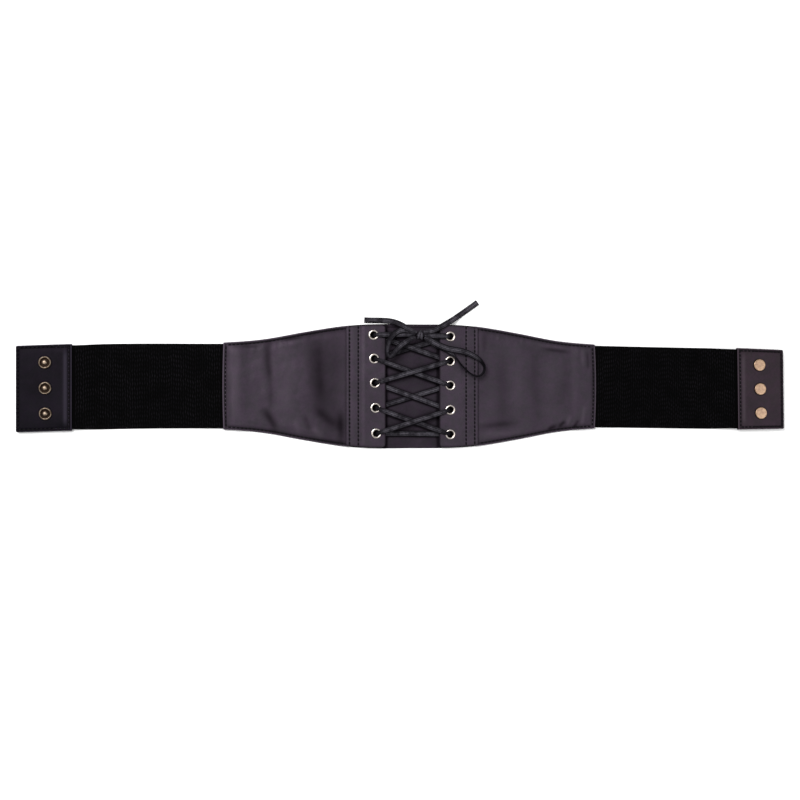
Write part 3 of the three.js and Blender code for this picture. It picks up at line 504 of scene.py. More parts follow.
def elastic_finish():
    """Black ribbed webbing: its ribs are rows of short threads, with a painted highlight on their crests
    that dims to painted shadow near the pockets.
    """
    finish = Finish("elastic_webbing", Roughness=0.9, Specular_IOR_Level=0.04)
    place = finish.place()
    rib_pitch, dash_pitch = 0.0021, 0.0041
    spot = finish.node("SeparateXYZ", {0: place})
    column = finish.math("FLOOR", finish.math("MULTIPLY", spot.outputs["X"], 1 / rib_pitch))
    start = finish.node("TexWhiteNoise", {"W": column}, noise_dimensions="1D").outputs["Value"]
    row = finish.math("ADD", finish.math("MULTIPLY", spot.outputs["Y"], 1 / dash_pitch), start)
    wave = finish.math("SINE", finish.math("MULTIPLY", row, 2 * math.pi))
    dash = finish.remap(wave, -0.35, 0.25, 0.12, 1.0)
    crest_highlight = finish.remap(finish.attribute("edge"), 0.55, 0.95, 0.0, 1.0)
    patchy = finish.remap(finish.noise(place, 70.0, 3.0, 0.6), 0.35, 0.65, 0.25, 1.0)
    lit = finish.math("MULTIPLY", finish.math("MULTIPLY", crest_highlight, dash), patchy)
    colour = finish.blend(lit, srgb(0.2, 0.2, 0.3), srgb(20, 18, 22))
    finish.feed(finish.shader.inputs["Base Color"], colour)
    finish.bump(dash, 0.0001, 0.5)
    finish.bump(finish.noise(place, 2600.0, 2.0, 0.6), 0.0001, 0.5)
    return finish.material


def lace_finish():
    """Flat braid: threads slant inwards from both edges, and cords run along it between them. It gets
    painted shade along its edges, and where it goes through an eyelet, passes under a crossing or stands on
    edge."""
    finish = Finish("lace_braid", Roughness=0.7, Specular_IOR_Level=0.06)
    thread_pitch, cord_pitch = 0.0013, 0.0016
    along = finish.attribute("along")
    across = finish.attribute("across")
    inward = finish.math("ABSOLUTE", across)
    slant = finish.math("ADD", along, finish.math("MULTIPLY", inward, 0.9))
    strand = finish.math("SINE", finish.math("MULTIPLY", slant, 2 * math.pi / thread_pitch))
    cord_row = finish.math("COSINE", finish.math("MULTIPLY", across, 2 * math.pi / cord_pitch))
    fibre = finish.noise(finish.place(), 700.0, 3.0, 0.6)
    weave = finish.math("MULTIPLY_ADD", strand, 0.6, cord_row)
    # Painted shade towards the lace's edges
    centre = finish.remap(inward, 0.001, 0.0021, 1.0, 0.05)
    patch = finish.remap(finish.noise(finish.place(), 130.0, 2.0, 0.5), 0.4, 0.6, 0.28, 1.0)
    shown = finish.remap(finish.attribute("painted_shade"), 0.0, 1.0, 1.0, 0.08)
    lit = finish.math("MULTIPLY", finish.math("MULTIPLY", centre, patch), shown)
    strand_tone = finish.remap(weave, -1.2, 1.2, 0.05, 0.85)
    tone = finish.math("ADD", strand_tone, finish.remap(fibre, 0.3, 0.7, -0.2, 0.4))
    colour = finish.blend(finish.math("MULTIPLY", tone, lit, clamped=True), srgb(6, 4, 8), srgb(76, 73, 80))
    finish.feed(finish.shader.inputs["Base Color"], colour)
    finish.bump(weave, 0.00012, 0.6)
    finish.bump(fibre, 0.0001, 0.4)
    return finish.material


def metal_finish(name, bright, wear_and_highlight, tarnish_and_shade, rough_low, rough_high):
    """Plated metal: clean on its crests, browner where it has rubbed, and dark in its crevices with tarnish
    and painted shade.
    """
    finish = Finish(name, Metallic=1.0)
    place = finish.place()
    patch = finish.remap(finish.noise(place, 520.0, 4.0, 0.6), 0.4, 0.68, 0.0, 1.0)
    body = finish.blend(patch, bright, wear_and_highlight)
    colour = finish.blend(finish.attribute("tarnish_and_shade"), body, tarnish_and_shade)
    finish.feed(finish.shader.inputs["Base Color"], colour)
    rough = finish.remap(finish.noise(place, 1400.0, 3.0, 0.6), 0.3, 0.7, rough_low, rough_high)
    finish.feed(finish.shader.inputs["Roughness"], rough)
    finish.bump(finish.noise(place, 2200.0, 2.0, 0.5), 0.00008, 0.3)
    return finish.material


def thread_finish():
    finish = Finish("stitch_thread", Roughness=0.7, Specular_IOR_Level=0.1)
    fibre = finish.noise(finish.place(), 2400.0, 3.0, 0.6)
    colour = finish.blend(finish.remap(fibre, 0.3, 0.7, 0.0, 1.0), srgb(3, 2, 4), srgb(12, 9, 13))
    finish.feed(finish.shader.inputs["Base Color"], colour)
    finish.bump(fibre, 0.0001, 0.5)
    return finish.material


# The dark of stitched seams and of painted shade
SEAM_AND_SHADE_DARK = srgb(5, 4, 6)
LEATHER = leather_finish(
    "panel_leather", srgb(49, 42, 51), srgb(38, 33, 40), SEAM_AND_SHADE_DARK, srgb(74, 66, 75), 0.16
)
# A darker copy of the panel leather: its extra darkness is painted shade, for the modesty panel lies low
# between the strips
MODESTY_SHADED_LEATHER = leather_finish(
    "modesty_leather_shaded", srgb(38, 32, 40), srgb(27, 23, 29), SEAM_AND_SHADE_DARK, srgb(40, 34, 42), 0.1
)
STUD_TAB_LEATHER = leather_finish(
    "stud_tab_leather", srgb(17, 15, 21), srgb(11, 10, 14), srgb(4, 3, 6), srgb(50, 46, 56), 0.03
)
CAP_TAB_LEATHER = leather_finish(
    "cap_tab_leather", srgb(43, 34, 40), srgb(34, 27, 32), SEAM_AND_SHADE_DARK, srgb(62, 54, 60), 0.1
)
ELASTIC = elastic_finish()
LACE = lace_finish()
EYELET_METAL = metal_finish(
    "eyelet_plate", srgb(228, 220, 214), srgb(186, 174, 164), srgb(34, 17, 14), 0.2, 0.36
)
CAP_METAL = metal_finish(
    "cap_plate", srgb(168, 141, 117), srgb(140, 114, 98), srgb(30, 17, 11), 0.34, 0.48
)
STUD_METAL = metal_finish(
    "stud_plate", srgb(126, 112, 98), srgb(88, 74, 62), srgb(24, 17, 13), 0.26, 0.42
)
THREAD = thread_finish()


# Finished pieces
def finish_piece(name, bm, material, nodes=(), sharp_angle=None):
    """Turns a bmesh in millimetres into a piece of the belt."""
    bmesh.ops.recalc_face_normals(bm, faces=bm.faces[:])
    for face in bm.faces:
        face.smooth = True
    if sharp_angle is not None:
        for edge in bm.edges:
            edge.smooth = edge.calc_face_angle(0.0) < math.radians(sharp_angle)
    bmesh.ops.scale(bm, vec=(MM, MM, MM), verts=bm.verts[:])
    mesh = bpy.data.meshes.new(name)
    bm.to_mesh(mesh)
    bm.free()
    mesh.materials.append(material)
    piece = bpy.data.objects.new(name, mesh)
    bpy.context.scene.collection.objects.link(piece)
    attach(piece, BODY)
    if nodes:
        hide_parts(*nodes)
    return piece


def add_to(bm, extra):
    """Moves the whole of one bmesh into another."""
    scratch = bpy.data.meshes.new("scratch")
    extra.to_mesh(scratch)
    extra.free()
    bm.from_mesh(scratch)
    bpy.data.meshes.remove(scratch)


# Flat lace
LACE_SIDES = 20


def lace_section(k):
    """The k-th corner of the lace's rounded flat section, in shares of its width and thickness."""
    angle = 2 * math.pi * k / LACE_SIDES
    cosine, sine = math.cos(angle), math.sin(angle)
    wide = 0.5 * math.copysign(abs(cosine) ** 0.55, cosine)
    thick = 0.5 * math.copysign(abs(sine) ** 0.6, sine)
    return wide, thick


def ribbon_bmesh(stations):
    """A flat lace along stations, each with its place, its width's direction and its width."""
    places = [station["at"] for station in stations]
    last = len(stations) - 1
    travelled = [0.0]
    for a, b in zip(places, places[1:]):
        travelled.append(travelled[-1] + (b - a).length)
    bm = bmesh.new()
    along = bm.verts.layers.float.new("along")
    across = bm.verts.layers.float.new("across")
    painted_shade = bm.verts.layers.float.new("painted_shade")
    bmesh.ops.create_grid(bm, x_segments=last, y_segments=LACE_SIDES, size=0.5)
    for vert in bm.verts:
        i = round((vert.co.x + 0.5) * last)
        wide, thick = lace_section(round((vert.co.y + 0.5) * LACE_SIDES))
        station = stations[i]
        direction = (places[min(i + 1, last)] - places[max(i - 1, 0)]).normalized()
        width_way = station["across"].normalized()
        through = direction.cross(width_way).normalized()
        vert.co = station["at"] + width_way * (wide * station["width"]) + through * (thick * LACE_WALL)
        vert[along] = travelled[i] * MM
        vert[across] = wide * station["width"] * MM
        vert[painted_shade] = station.get("painted_shade", 0.0)
    bmesh.ops.remove_doubles(bm, verts=bm.verts[:], dist=1e-4)
    bmesh.ops.holes_fill(bm, edges=[e for e in bm.edges if e.is_boundary], sides=0)
    return bm


def route_stations(route, spacing=0.8):
    """A smooth run through a route's rows. Its width lies level across it and leans about it."""
    columns = ("x", "y", "z", "lean", "width")
    rows = [[row[c] for c in columns] for row in route]
    padded = [[2 * a - b for a, b in zip(rows[0], rows[1])]] + rows
    padded.append([2 * a - b for a, b in zip(rows[-1], rows[-2])])
    samples = []
    for k in range(1, len(padded) - 2):
        p0, p1, p2, p3 = padded[k - 1 : k + 3]
        count = max(2, math.ceil(math.dist(p1[:3], p2[:3]) / spacing))
        for s in range(count):
            t = s / count
            samples.append([
                0.5 * (2 * b + (c - a) * t + (2 * a - 5 * b + 4 * c - d) * t * t
                       + (3 * b - a - 3 * c + d) * t**3)
                for a, b, c, d in zip(p0, p1, p2, p3)
            ])
    samples.append(rows[-1])
    stations = []
    for i, (x, y, z, lean, width) in enumerate(samples):
        before, after = samples[max(i - 1, 0)], samples[min(i + 1, len(samples) - 1)]
        direction = (Vector(after[:3]) - Vector(before[:3])).normalized()
        level = Vector((-direction.y, direction.x, 0)).normalized()
        leaned = Quaternion(direction, math.radians(lean)) @ level
        # Painted shade on a strand that stands on edge
        on_edge = 0.9 * smooth(abs(lean), 25, 70)
        stations.append({"at": Vector((x, y, z)), "across": leaned, "width": width, "painted_shade": on_edge})
    return stations


def free_lace(name, route, node):
    stations = route_stations(route)
    piece = finish_piece(name, ribbon_bmesh(stations), LACE, [node])
    return piece


# The order in which the lace passes the eyelets, from the knot down and back up. over says which
# of two crossing stretches lies on top, for the stretch that follows the eyelet, and roll how far
# that stretch turns about itself on its way, in degrees.
LACING_ORDER = [
    {"hand": -1, "row": 0, "over": 1, "roll": 6},
    {"hand": 1, "row": 1, "over": 1, "roll": -14},
    {"hand": -1, "row": 2, "over": 1, "roll": 5},
    {"hand": 1, "row": 3, "over": 1, "roll": 16},
    {"hand": -1, "row": 4, "over": 0, "roll": 0},
    {"hand": 1, "row": 4, "over": -1, "roll": -12},
    {"hand": -1, "row": 3, "over": -1, "roll": -4},
    {"hand": 1, "row": 2, "over": -1, "roll": 12},
    {"hand": -1, "row": 1, "over": -1, "roll": 5},
    {"hand": 1, "row": 0, "over": 0, "roll": -6},
]
FIRST_STRETCH_ROLL = 8
BEND_STEPS = 8


def eyelet_middle(hand, row):
    side = "left" if hand < 0 else "right"
    return node_middle(f"eyelet_{side}_{row + 1}")


def width_up(direction):
    up = Vector((-direction.y, direction.x, 0)).normalized()
    return -up if up.y < 0 else up


def level_way(start, end):
    return Vector((end[0] - start[0], end[1] - start[1], 0)).normalized()


def quarter_bend(hole, direction, level, turns_up):
    """The lace's bend beside an eyelet, from level to upright, on the side of direction."""
    stations = []
    for k in range(BEND_STEPS + 1):
        angle = math.radians(90 * k / BEND_STEPS)
        rise = LACE_BEND * (1 - math.cos(angle)) * (1 if turns_up else -1)
        at = Vector((hole[0], hole[1], level + rise)) + direction * LACE_BEND * (1 - math.sin(angle))
        stations.append({
            "at": at,
            "across": width_up(direction),
            "width": LACE_WIDTH_IN_HOLE,
            "painted_shade": 1.0,
        })
    return stations


def stretch(start, end, level, over, is_front, roll, start_width, end_width):
    """The lace between two eyelets. It gives way where another stretch crosses it."""
    room = LACE_WALL + LAYER_GAP
    give = over * room / 2 if is_front else max(over, 0) * room
    way = level_way(start, end)
    length = math.dist(start[:2], end[:2])
    count = round(length)
    stations = []
    for k in range(1, count):
        share = (LACE_BEND + (length - 2 * LACE_BEND) * k / count) / length
        crossing = 1 - smooth(abs(share - 0.5), 0.12, 0.38)
        at = Vector((mix(start[0], end[0], share), mix(start[1], end[1], share), level + give * crossing))
        at.z -= 0.12 * math.sin(math.pi * share) if is_front else 0
        turn = math.radians(roll) * math.sin(math.pi * share) * (1 - 0.8 * crossing * abs(over))
        spread = min(smooth(share, 0.02, 0.22), smooth(1 - share, 0.02, 0.22))
        # Painted shade as the lace goes into an eyelet and where it passes under a crossing
        entry = 1 - smooth(min(share, 1 - share), 0.02, 0.15)
        under = hump(share, 0.5, 0.1) if over < 0 else 0.0
        stations.append({
            "painted_shade": clamp(0.9 * entry + 0.6 * under),
            "at": at,
            "across": Quaternion(way, turn) @ width_up(way),
            "width": mix(min(start_width, end_width), LACE_WIDTH, spread),
        })
    return stations


def laced_stations():
    holes = []
    for row in LACING_ORDER:
        middle = eyelet_middle(row["hand"], row["row"])
        holes.append((middle.x - row["hand"] * LACE_OFFSET_IN_HOLE, middle.y))
    stops = [LACE_START, *holes, LACE_END]
    widths = [LACE_WIDTH_AT_KNOT] + [LACE_WIDTH_IN_HOLE] * len(holes) + [LACE_WIDTH_AT_KNOT]
    rolls = [FIRST_STRETCH_ROLL] + [row["roll"] for row in LACING_ORDER]

    def end_station(start, end, here):
        across = width_up(level_way(start, end))
        return {"at": Vector((*here, FRONT_LACE_LEVEL)), "across": across, "width": LACE_WIDTH_AT_KNOT}

    stations = [end_station(stops[0], stops[1], stops[0])]
    stations += stretch(stops[0], stops[1], FRONT_LACE_LEVEL, 0, True, rolls[0], widths[0], widths[1])
    for i, row in enumerate(LACING_ORDER):
        hole = holes[i]
        goes_down = i % 2 == 0
        levels = (FRONT_LACE_LEVEL, BACK_LACE_LEVEL)
        arrive, leave = levels if goes_down else levels[::-1]
        arriving = quarter_bend(hole, level_way(hole, stops[i]), arrive, not goes_down)
        leaving = quarter_bend(hole, level_way(hole, stops[i + 2]), leave, goes_down)[::-1]
        upright = []
        for t in (0.25, 0.5, 0.75):
            upright.append({
                "at": arriving[-1]["at"].lerp(leaving[0]["at"], t),
                "across": arriving[-1]["across"].lerp(leaving[0]["across"], t),
                "width": LACE_WIDTH_IN_HOLE,
                "painted_shade": 1.0,
            })
        stations += arriving + upright + leaving
        next_widths = widths[i + 1], widths[i + 2]
        stations += stretch(
            hole, stops[i + 2], leave, row["over"], not goes_down, rolls[i + 1], *next_widths
        )
    stations.append(end_station(stops[-2], stops[-1], stops[-1]))
    return stations


KNOT_LUMP = (3.2, 3.7, 2.3)
KNOT_WRAP = (3.9, 2.4)
KNOT_WRAP_STEPS = 32


def knot_bmesh():
    """A tight knot: a creased lump with two turns of the lace wrapped over it."""
    middle = node_middle("bow_knot")
    bm = bmesh.new()
    bmesh.ops.create_uvsphere(bm, u_segments=32, v_segments=20, radius=1)
    along = bm.verts.layers.float.new("along")
    across = bm.verts.layers.float.new("across")
    for vert in bm.verts:
        crease = 0.09 * math.sin(9 * vert.co.y + 3 * vert.co.x) + 0.05 * noise.noise(vert.co * 3)
        vert[along] = vert.co.x * 4 * MM
        vert[across] = 0.001
        vert.co = vert.co * (1 + crease)
        vert.co = vert.co * Vector(KNOT_LUMP)
    turn = Matrix.Rotation(math.radians(KNOT_TURN), 4, "Z")
    bmesh.ops.transform(bm, matrix=Matrix.Translation(middle) @ turn, verts=bm.verts[:])
    for offset, lean, size in ((-1.0, -20, 1.0), (1.3, 4, 0.94)):
        wrap = []
        for k in range(KNOT_WRAP_STEPS + 1):
            angle = math.radians(-100 + 200 * k / KNOT_WRAP_STEPS)
            rise, forward = math.sin(angle) * KNOT_WRAP[0], math.cos(angle) * KNOT_WRAP[1]
            at = Vector((offset, rise * size, forward * size))
            width = 2.7 - 0.6 * abs(math.sin(angle))
            wrap.append({"at": at, "across": Vector((1, 0.15, 0)), "width": width})
        loop = ribbon_bmesh(wrap)
        spin = Matrix.Rotation(math.radians(lean), 4, "Z")
        bmesh.ops.transform(loop, matrix=Matrix.Translation(middle) @ spin, verts=loop.verts[:])
        add_to(bm, loop)
    return bm


def make_lace():
    finish_piece("laced_run", ribbon_bmesh(laced_stations()), LACE, ["lace"])
    knot = finish_piece("knot_folds", knot_bmesh(), LACE, ["bow_knot"])
    free_lace("bow_ribbon_left", LOOP_LEFT_ROUTE, "bow_loop_left")
    free_lace("bow_ribbon_right", LOOP_RIGHT_ROUTE, "bow_loop_right")
    free_lace("tail_ribbon_left", TAIL_LEFT_ROUTE, "lace_tail_left")
    free_lace("tail_ribbon_right", TAIL_RIGHT_ROUTE, "lace_tail_right")


make_lace()


# Leather and elastic layers
BORDER_STEPS = (0, 0.12, 0.35, 0.65, 1.0, 1.4, 1.8, 2.15, 2.4, 2.65, 3.0, 3.6, 4.5, 5.8, 7.4)
ROLL_RADIUS = 1.0
POCKET_LIP = 0.86
POCKET_SKIN = 0.4


class Layer:
    """A layer of the belt: half is its half height at a distance from the belt's middle, and faces
    gives its lower and upper level there, at a height y from its own middle line."""

    def __init__(self, hand, half, faces, drop=None, slant=None, bow=None):
        self.hand = hand
        self.half = half
        self.faces = faces
        self.drop = drop or (lambda distance: 0.0)
        self.slant = slant or (lambda distance: 0.0)
        self.bow = bow or (lambda distance, y: 0.0)

    def place(self, distance, y, upper):
        level = self.faces(distance, y)[1 if upper else 0]
        height = y - self.drop(distance)
        far = self.hand * (distance + self.bow(distance, y)) - self.slant(distance) * height
        return Vector((far, height, level))

    def spot(self, x, y):
        """The distance and height of a place given as x and y."""
        distance = abs(x)
        distance = self.hand * (x + self.slant(distance) * y)
        return distance, y + self.drop(distance)

    def on_top(self, distance, y):
        return self.place(distance, y, True)


def border_rows(count):
    """Rows across a layer: share of the half height, and millimetres in from that edge. Those near
    an edge keep their distance from it, and the others share out the middle."""
    reach = BORDER_STEPS[-1]
    inner = [mix(-1, 1, k / count) for k in range(1, count)]
    rows = [(-1, e) for e in BORDER_STEPS]
    rows += [(share, share * -reach if share < 0 else share * reach) for share in inner]
    rows += [(1, e) for e in reversed(BORDER_STEPS)]
    return rows


def row_height(row, half):
    share, inset = row
    return share * half - math.copysign(inset, share) if share else 0.0


def layer_bmesh(layer, columns, rows, holes=(), seam=None, edge=None):
    """The layer's two faces and its edges, with round holes given as x, y and radius."""
    bm = bmesh.new()
    far = bm.verts.layers.float.new("far")
    high = bm.verts.layers.float.new("high")
    seam_and_shade_mark = bm.verts.layers.float.new("seam")
    highlight_mark = bm.verts.layers.float.new("edge")
    bmesh.ops.create_grid(bm, x_segments=len(columns) - 1, y_segments=len(rows) - 1, size=0.5)
    for vert in bm.verts:
        distance = columns[round((vert.co.x + 0.5) * (len(columns) - 1))]
        y = row_height(rows[round((vert.co.y + 0.5) * (len(rows) - 1))], layer.half(distance))
        vert[far] = distance
        vert[high] = y
        vert.co = layer.place(distance, y, True)
    for x, y, radius in holes:
        centre = Vector((x, y, 0))
        inside = [f for f in bm.faces if (f.calc_center_median() - centre).xy.length < radius]
        bmesh.ops.delete(bm, geom=inside, context="FACES")
        for vert in [v for v in bm.verts if v.is_boundary and (v.co - centre).xy.length < radius + 2]:
            out = (vert.co - centre).xy.normalized() * radius
            vert[far], vert[high] = layer.spot(x + out.x, y + out.y)
    # The seam attribute carries dark seams and painted shade, and the edge attribute painted highlights
    if seam or edge:
        for vert in bm.verts:
            vert[seam_and_shade_mark] = seam(vert[far], vert[high]) if seam else 0
            vert[highlight_mark] = edge(vert[far], vert[high]) if edge else 0
    made = bmesh.ops.extrude_face_region(bm, geom=bm.faces[:], use_keep_orig=True)["geom"]
    upper = {g for g in made if isinstance(g, bmesh.types.BMVert)}
    for vert in bm.verts:
        vert.co = layer.place(vert[far], vert[high], vert in upper)
        if vert not in upper:
            vert[seam_and_shade_mark] = 0
    return bm


def cut_pocket(bm, layer, mouth, half, depth, skin):
    """Opens a pocket in the layer's flat end at mouth, between two skins. It runs towards the
    belt's middle where depth is above 0, and away from it where depth is below 0."""
    far = bm.verts.layers.float["far"]
    wall = []
    for face in bm.faces:
        at_mouth = all(abs(vert[far] - mouth) < 0.01 for vert in face.verts)
        if at_mouth and abs(face.calc_center_median().y + layer.drop(mouth)) < half:
            wall.append(face)
    bmesh.ops.inset_region(bm, faces=wall, thickness=skin, use_even_offset=True)
    way = bmesh.ops.extrude_face_region(bm, geom=wall)["geom"]
    bmesh.ops.delete(bm, geom=[f for f in wall if f.is_valid], context="FACES")
    moved = [g for g in way if isinstance(g, bmesh.types.BMVert)]
    bmesh.ops.translate(bm, vec=(-layer.hand * depth, 0, 0), verts=moved)


def rolled(low, high, inward, radius=ROLL_RADIUS, keep=0.2):
    """Draws two faces together towards an edge, as a folded edge rounds over."""
    open_share = math.sqrt(max(1 - (1 - clamp(inward / radius)) ** 2, 0))
    share = mix(keep, 1, open_share)
    middle = (low + high) / 2
    return mix(middle, low, share), mix(middle, high, share)


def stitch_groove(inward, depth=0.42, width=0.5):
    return -depth * hump(inward, STITCH_BORDER, width)


# Side panels
PANEL_SLOPE = 14.0
PANEL_FULL_FROM = STRIP_OUTER - 3.0  # nearer the middle it is lower, hidden below the strip
PANEL_COLUMN_STEP = 1.3
PANEL_ROWS = 62


def fold_tones(side, distance, y):
    """How deep in a hollow and how high on a ridge a place on a panel lies."""
    hollow = ridge = 0.0
    for fold in side["folds"]:
        middle, high = fold["at"]
        off_far, off_high = distance - middle, y - high
        reach = 2.2 * (fold["long"] + fold["wide"])
        if abs(off_far) + abs(off_high) > reach:
            continue
        sway = 0.3 * fold["wide"] * noise.noise(Vector((y * 0.05, distance * 0.03, middle)))
        way = math.radians(fold["way"])
        along = off_far * math.cos(way) + off_high * math.sin(way)
        beside = off_high * math.cos(way) - off_far * math.sin(way) + sway
        share = math.exp(-((along / fold["long"]) ** 4) - (beside / fold["wide"]) ** 2)
        if fold["tone"] > 0:
            hollow += fold["tone"] * share
        else:
            ridge -= fold["tone"] * share
    return hollow, ridge


def panel_layer(side):
    stack = MODESTY_WALL + LAYER_GAP
    pocket_start = PANEL_OUTER - TUCK
    tucked = STRIP_OUTER + LAYER_GAP
    seed = side["seed"]

    def half(distance):
        return outline_half(distance) - (0 if distance > PANEL_FULL_FROM else TUCK_INSET)

    def faces(distance, y):
        out = smooth(distance, tucked, STRIP_OUTER + PANEL_SLOPE)
        near_end = smooth(distance, pocket_start - 10, pocket_start)
        low = stack * (1 - out)
        edge_in = half(distance) - abs(y)
        end_in = PANEL_OUTER - distance
        inward = min(edge_in, end_in)
        inner = smooth(inward, STITCH_BORDER, STITCH_BORDER + 7)
        spot = Vector((distance * 0.06, y * 0.05, seed))
        swell = 0.4 * noise.noise(spot) + 0.2 * noise.noise(spot * 3.1)
        pucker = 0.3 * noise.noise(Vector((distance * 0.32, y * 0.05, seed + 5)))
        pucker *= hump(inward, STITCH_BORDER + 3.5, 4)
        bead = 0.35 * hump(inward, 1.3, 1.0)
        lining = 0.35 * hump(inward, STITCH_BORDER + 2.2, 1.4)
        hollow, ridge = fold_tones(side, distance, y)
        wave = (swell + 0.7 * ridge - 0.9 * hollow) * inner * (1 - near_end * 0.7)
        soft = PANEL_WALL - 0.9 + 1.1 * inner + wave
        wall = mix(mix(PANEL_TUCK_WALL, soft, out), END_WALL - 0.3 + 0.4 * inner, near_end)
        wall += (pucker + bead + lining + stitch_groove(inward)) * out
        high = low + max(wall, 1.0)
        low, high = rolled(low, high, edge_in)
        return rolled(low, high, end_in, 0.7, POCKET_LIP) if near_end else (low, high)

    def bow(distance, y):
        share = y / END_HALF
        return side["end_bow"] * (0.5 - share * share) * smooth(distance, PANEL_OUTER - 40, PANEL_OUTER)

    return Layer(side["hand"], half, faces, bow=bow)


def border_shade(inward):
    """Painted shade at a distance in from an edge: in the stitch groove and in the band outside it."""
    band = smooth(inward, 0.8, 1.3) * (1 - smooth(inward, STITCH_BORDER, STITCH_BORDER + 1.6))
    return clamp(0.35 * hump(inward, STITCH_BORDER, 0.8) + 0.45 * band)


# Painted highlight, with some wear, along a folded edge
def fold_shine(inward):
    return 0.8 * hump(inward, 0.3, 0.45)


def make_panel(side):
    layer = panel_layer(side)
    tucked = STRIP_OUTER + LAYER_GAP
    end_steps = [PANEL_OUTER - e for e in BORDER_STEPS]
    columns = tidy(
        steps(PANEL_INNER, tucked, 4)
        + [PANEL_FULL_FROM, PANEL_FULL_FROM + 0.05]
        + steps(STRIP_OUTER + 1.2, PANEL_OUTER - BORDER_STEPS[-1], PANEL_COLUMN_STEP)
        + end_steps
    )

    def inset(distance, y):
        return min(layer.half(distance) - abs(y), PANEL_OUTER - distance)

    # Painted shade: the border's groove and band, a band just inside the stitches, and the folds' hollows
    def shade(distance, y):
        inward = inset(distance, y)
        inner_lip_shade = 0.3 * hump(inward, STITCH_BORDER + 1.8, 1.2)
        return clamp(border_shade(inward) + inner_lip_shade + 1.15 * fold_tones(side, distance, y)[0])

    # Painted highlight: the folded edge (partly wear) and the folds' ridges
    def shine(distance, y):
        return clamp(fold_shine(inset(distance, y)) + 0.5 * fold_tones(side, distance, y)[1])

    bm = layer_bmesh(layer, columns, border_rows(PANEL_ROWS), seam=shade, edge=shine)
    cut_pocket(bm, layer, PANEL_OUTER, ELASTIC_HALF + LAYER_GAP, TUCK, POCKET_SKIN)
    finish_piece(f"panel_skin_{side['name']}", bm, LEATHER, [f"panel_{side['name']}"], 50)
    return layer


# Lacing strips
STRIP_FLAT_END = abs(eyelet_middle(1, 2).x) + EYELET_RIM
STRIP_ROWS = 96


def strip_base(distance):
    lift = 1 - smooth(distance, STRIP_FLAT_END, STRIP_OUTER - TUCK)
    return mix(STRIP_SEWN_BASE, STRIP_LIFTED_BASE, lift)


def strip_layer(hand, seed):
    def half(distance):
        return outline_half(distance) - STRIP_INSET - corner_cut(distance - STRIP_INNER, STRIP_CORNER)

    def faces(distance, y):
        low = strip_base(distance)
        edge_in = half(distance) - abs(y)
        fold_in = STRIP_OUTER - distance
        inner_in = distance - STRIP_INNER
        grooves = sum(hump(distance, seam, 0.55) for seam in STRIP_SEAMS)
        ridge = 0.3 * hump(fold_in, 1.4, 1.2)
        welt = 0.22 * hump(distance, sum(STRIP_SEAMS) / 2, 3.0)
        soft = 0.16 * noise.noise(Vector((distance * 0.08, y * 0.06, seed)))
        high = low + STRIP_WALL + ridge + welt + soft - 0.4 * grooves
        low, high = rolled(low, high, edge_in, 0.8)
        low, high = rolled(low, high, inner_in, 0.8)
        return rolled(low, high, fold_in, 0.9)

    return Layer(hand, half, faces)


# Painted shade on a strip: along its stitch grooves, beside the fold at its outer end, in a band along its
# top and bottom edges and along its inner edge
def strip_shade(distance, y):
    rows = sum(hump(distance, seam, 0.7) for seam in STRIP_SEAMS)
    top_band_shade = 1 - smooth(outline_half(distance) - STRIP_INSET - abs(y), 0.6, 2.2)
    inner_edge_shade = 1 - smooth(distance - STRIP_INNER, 0.5, 1.7)
    return clamp(0.35 * rows + 0.7 * hump(distance, STRIP_OUTER, 0.5) + 0.4 * top_band_shade + 0.95 * inner_edge_shade)


def make_strip(side):
    layer = strip_layer(side["hand"], side["seed"] + 20)
    seam_steps = [seam + d for seam in STRIP_SEAMS for d in (-1.1, -0.7, -0.35, 0, 0.35, 0.7, 1.1)]
    corner = [STRIP_INNER + d for d in (0, 0.05, 0.2, 0.5, 0.9, 1.5, 2.2, 3, 4)]
    fold = [STRIP_OUTER - d for d in (0, 0.1, 0.3, 0.6, 1.0, 1.5, 2.2)]
    columns = tidy(corner + steps(STRIP_INNER + 4, STRIP_OUTER - 2.5, 0.9) + seam_steps + fold, 0.04)
    rows = border_rows(STRIP_ROWS)
    holes = []
    for row in range(EYELET_ROWS):
        middle = eyelet_middle(side["hand"], row)
        holes.append((middle.x, middle.y, EYELET_BARREL / 2 + RIM_GAP))
    bm = layer_bmesh(layer, columns, rows, holes, strip_shade)
    name = f"lacing_strip_{side['name']}"
    finish_piece(f"strip_skin_{side['name']}", bm, LEATHER, [name], 50)
    return layer


# Modesty panel
MODESTY_ROWS = 110
LACED_HOLES = [tuple(eyelet_middle(row["hand"], row["row"]).xy) for row in LACING_ORDER]
LACE_STOPS = [LACE_START, *LACED_HOLES, LACE_END]


def lace_shade(x, y):
    """Painted shadow beside the lace's straight stretches, darkest below them."""
    dark = 0.0
    for a, b in zip(LACE_STOPS, LACE_STOPS[1:]):
        span = Vector((b[0] - a[0], b[1] - a[1]))
        share = clamp(((x - a[0]) * span.x + (y - a[1]) * span.y) / span.length_squared)
        off = Vector((x - a[0] - span.x * share, y - a[1] - span.y * share))
        weight = 1.0 if off.y < 0 else 0.6
        dark = max(dark, weight * (1 - smooth(off.length - LACE_WIDTH / 2, 0.2, 2.2)))
    return dark


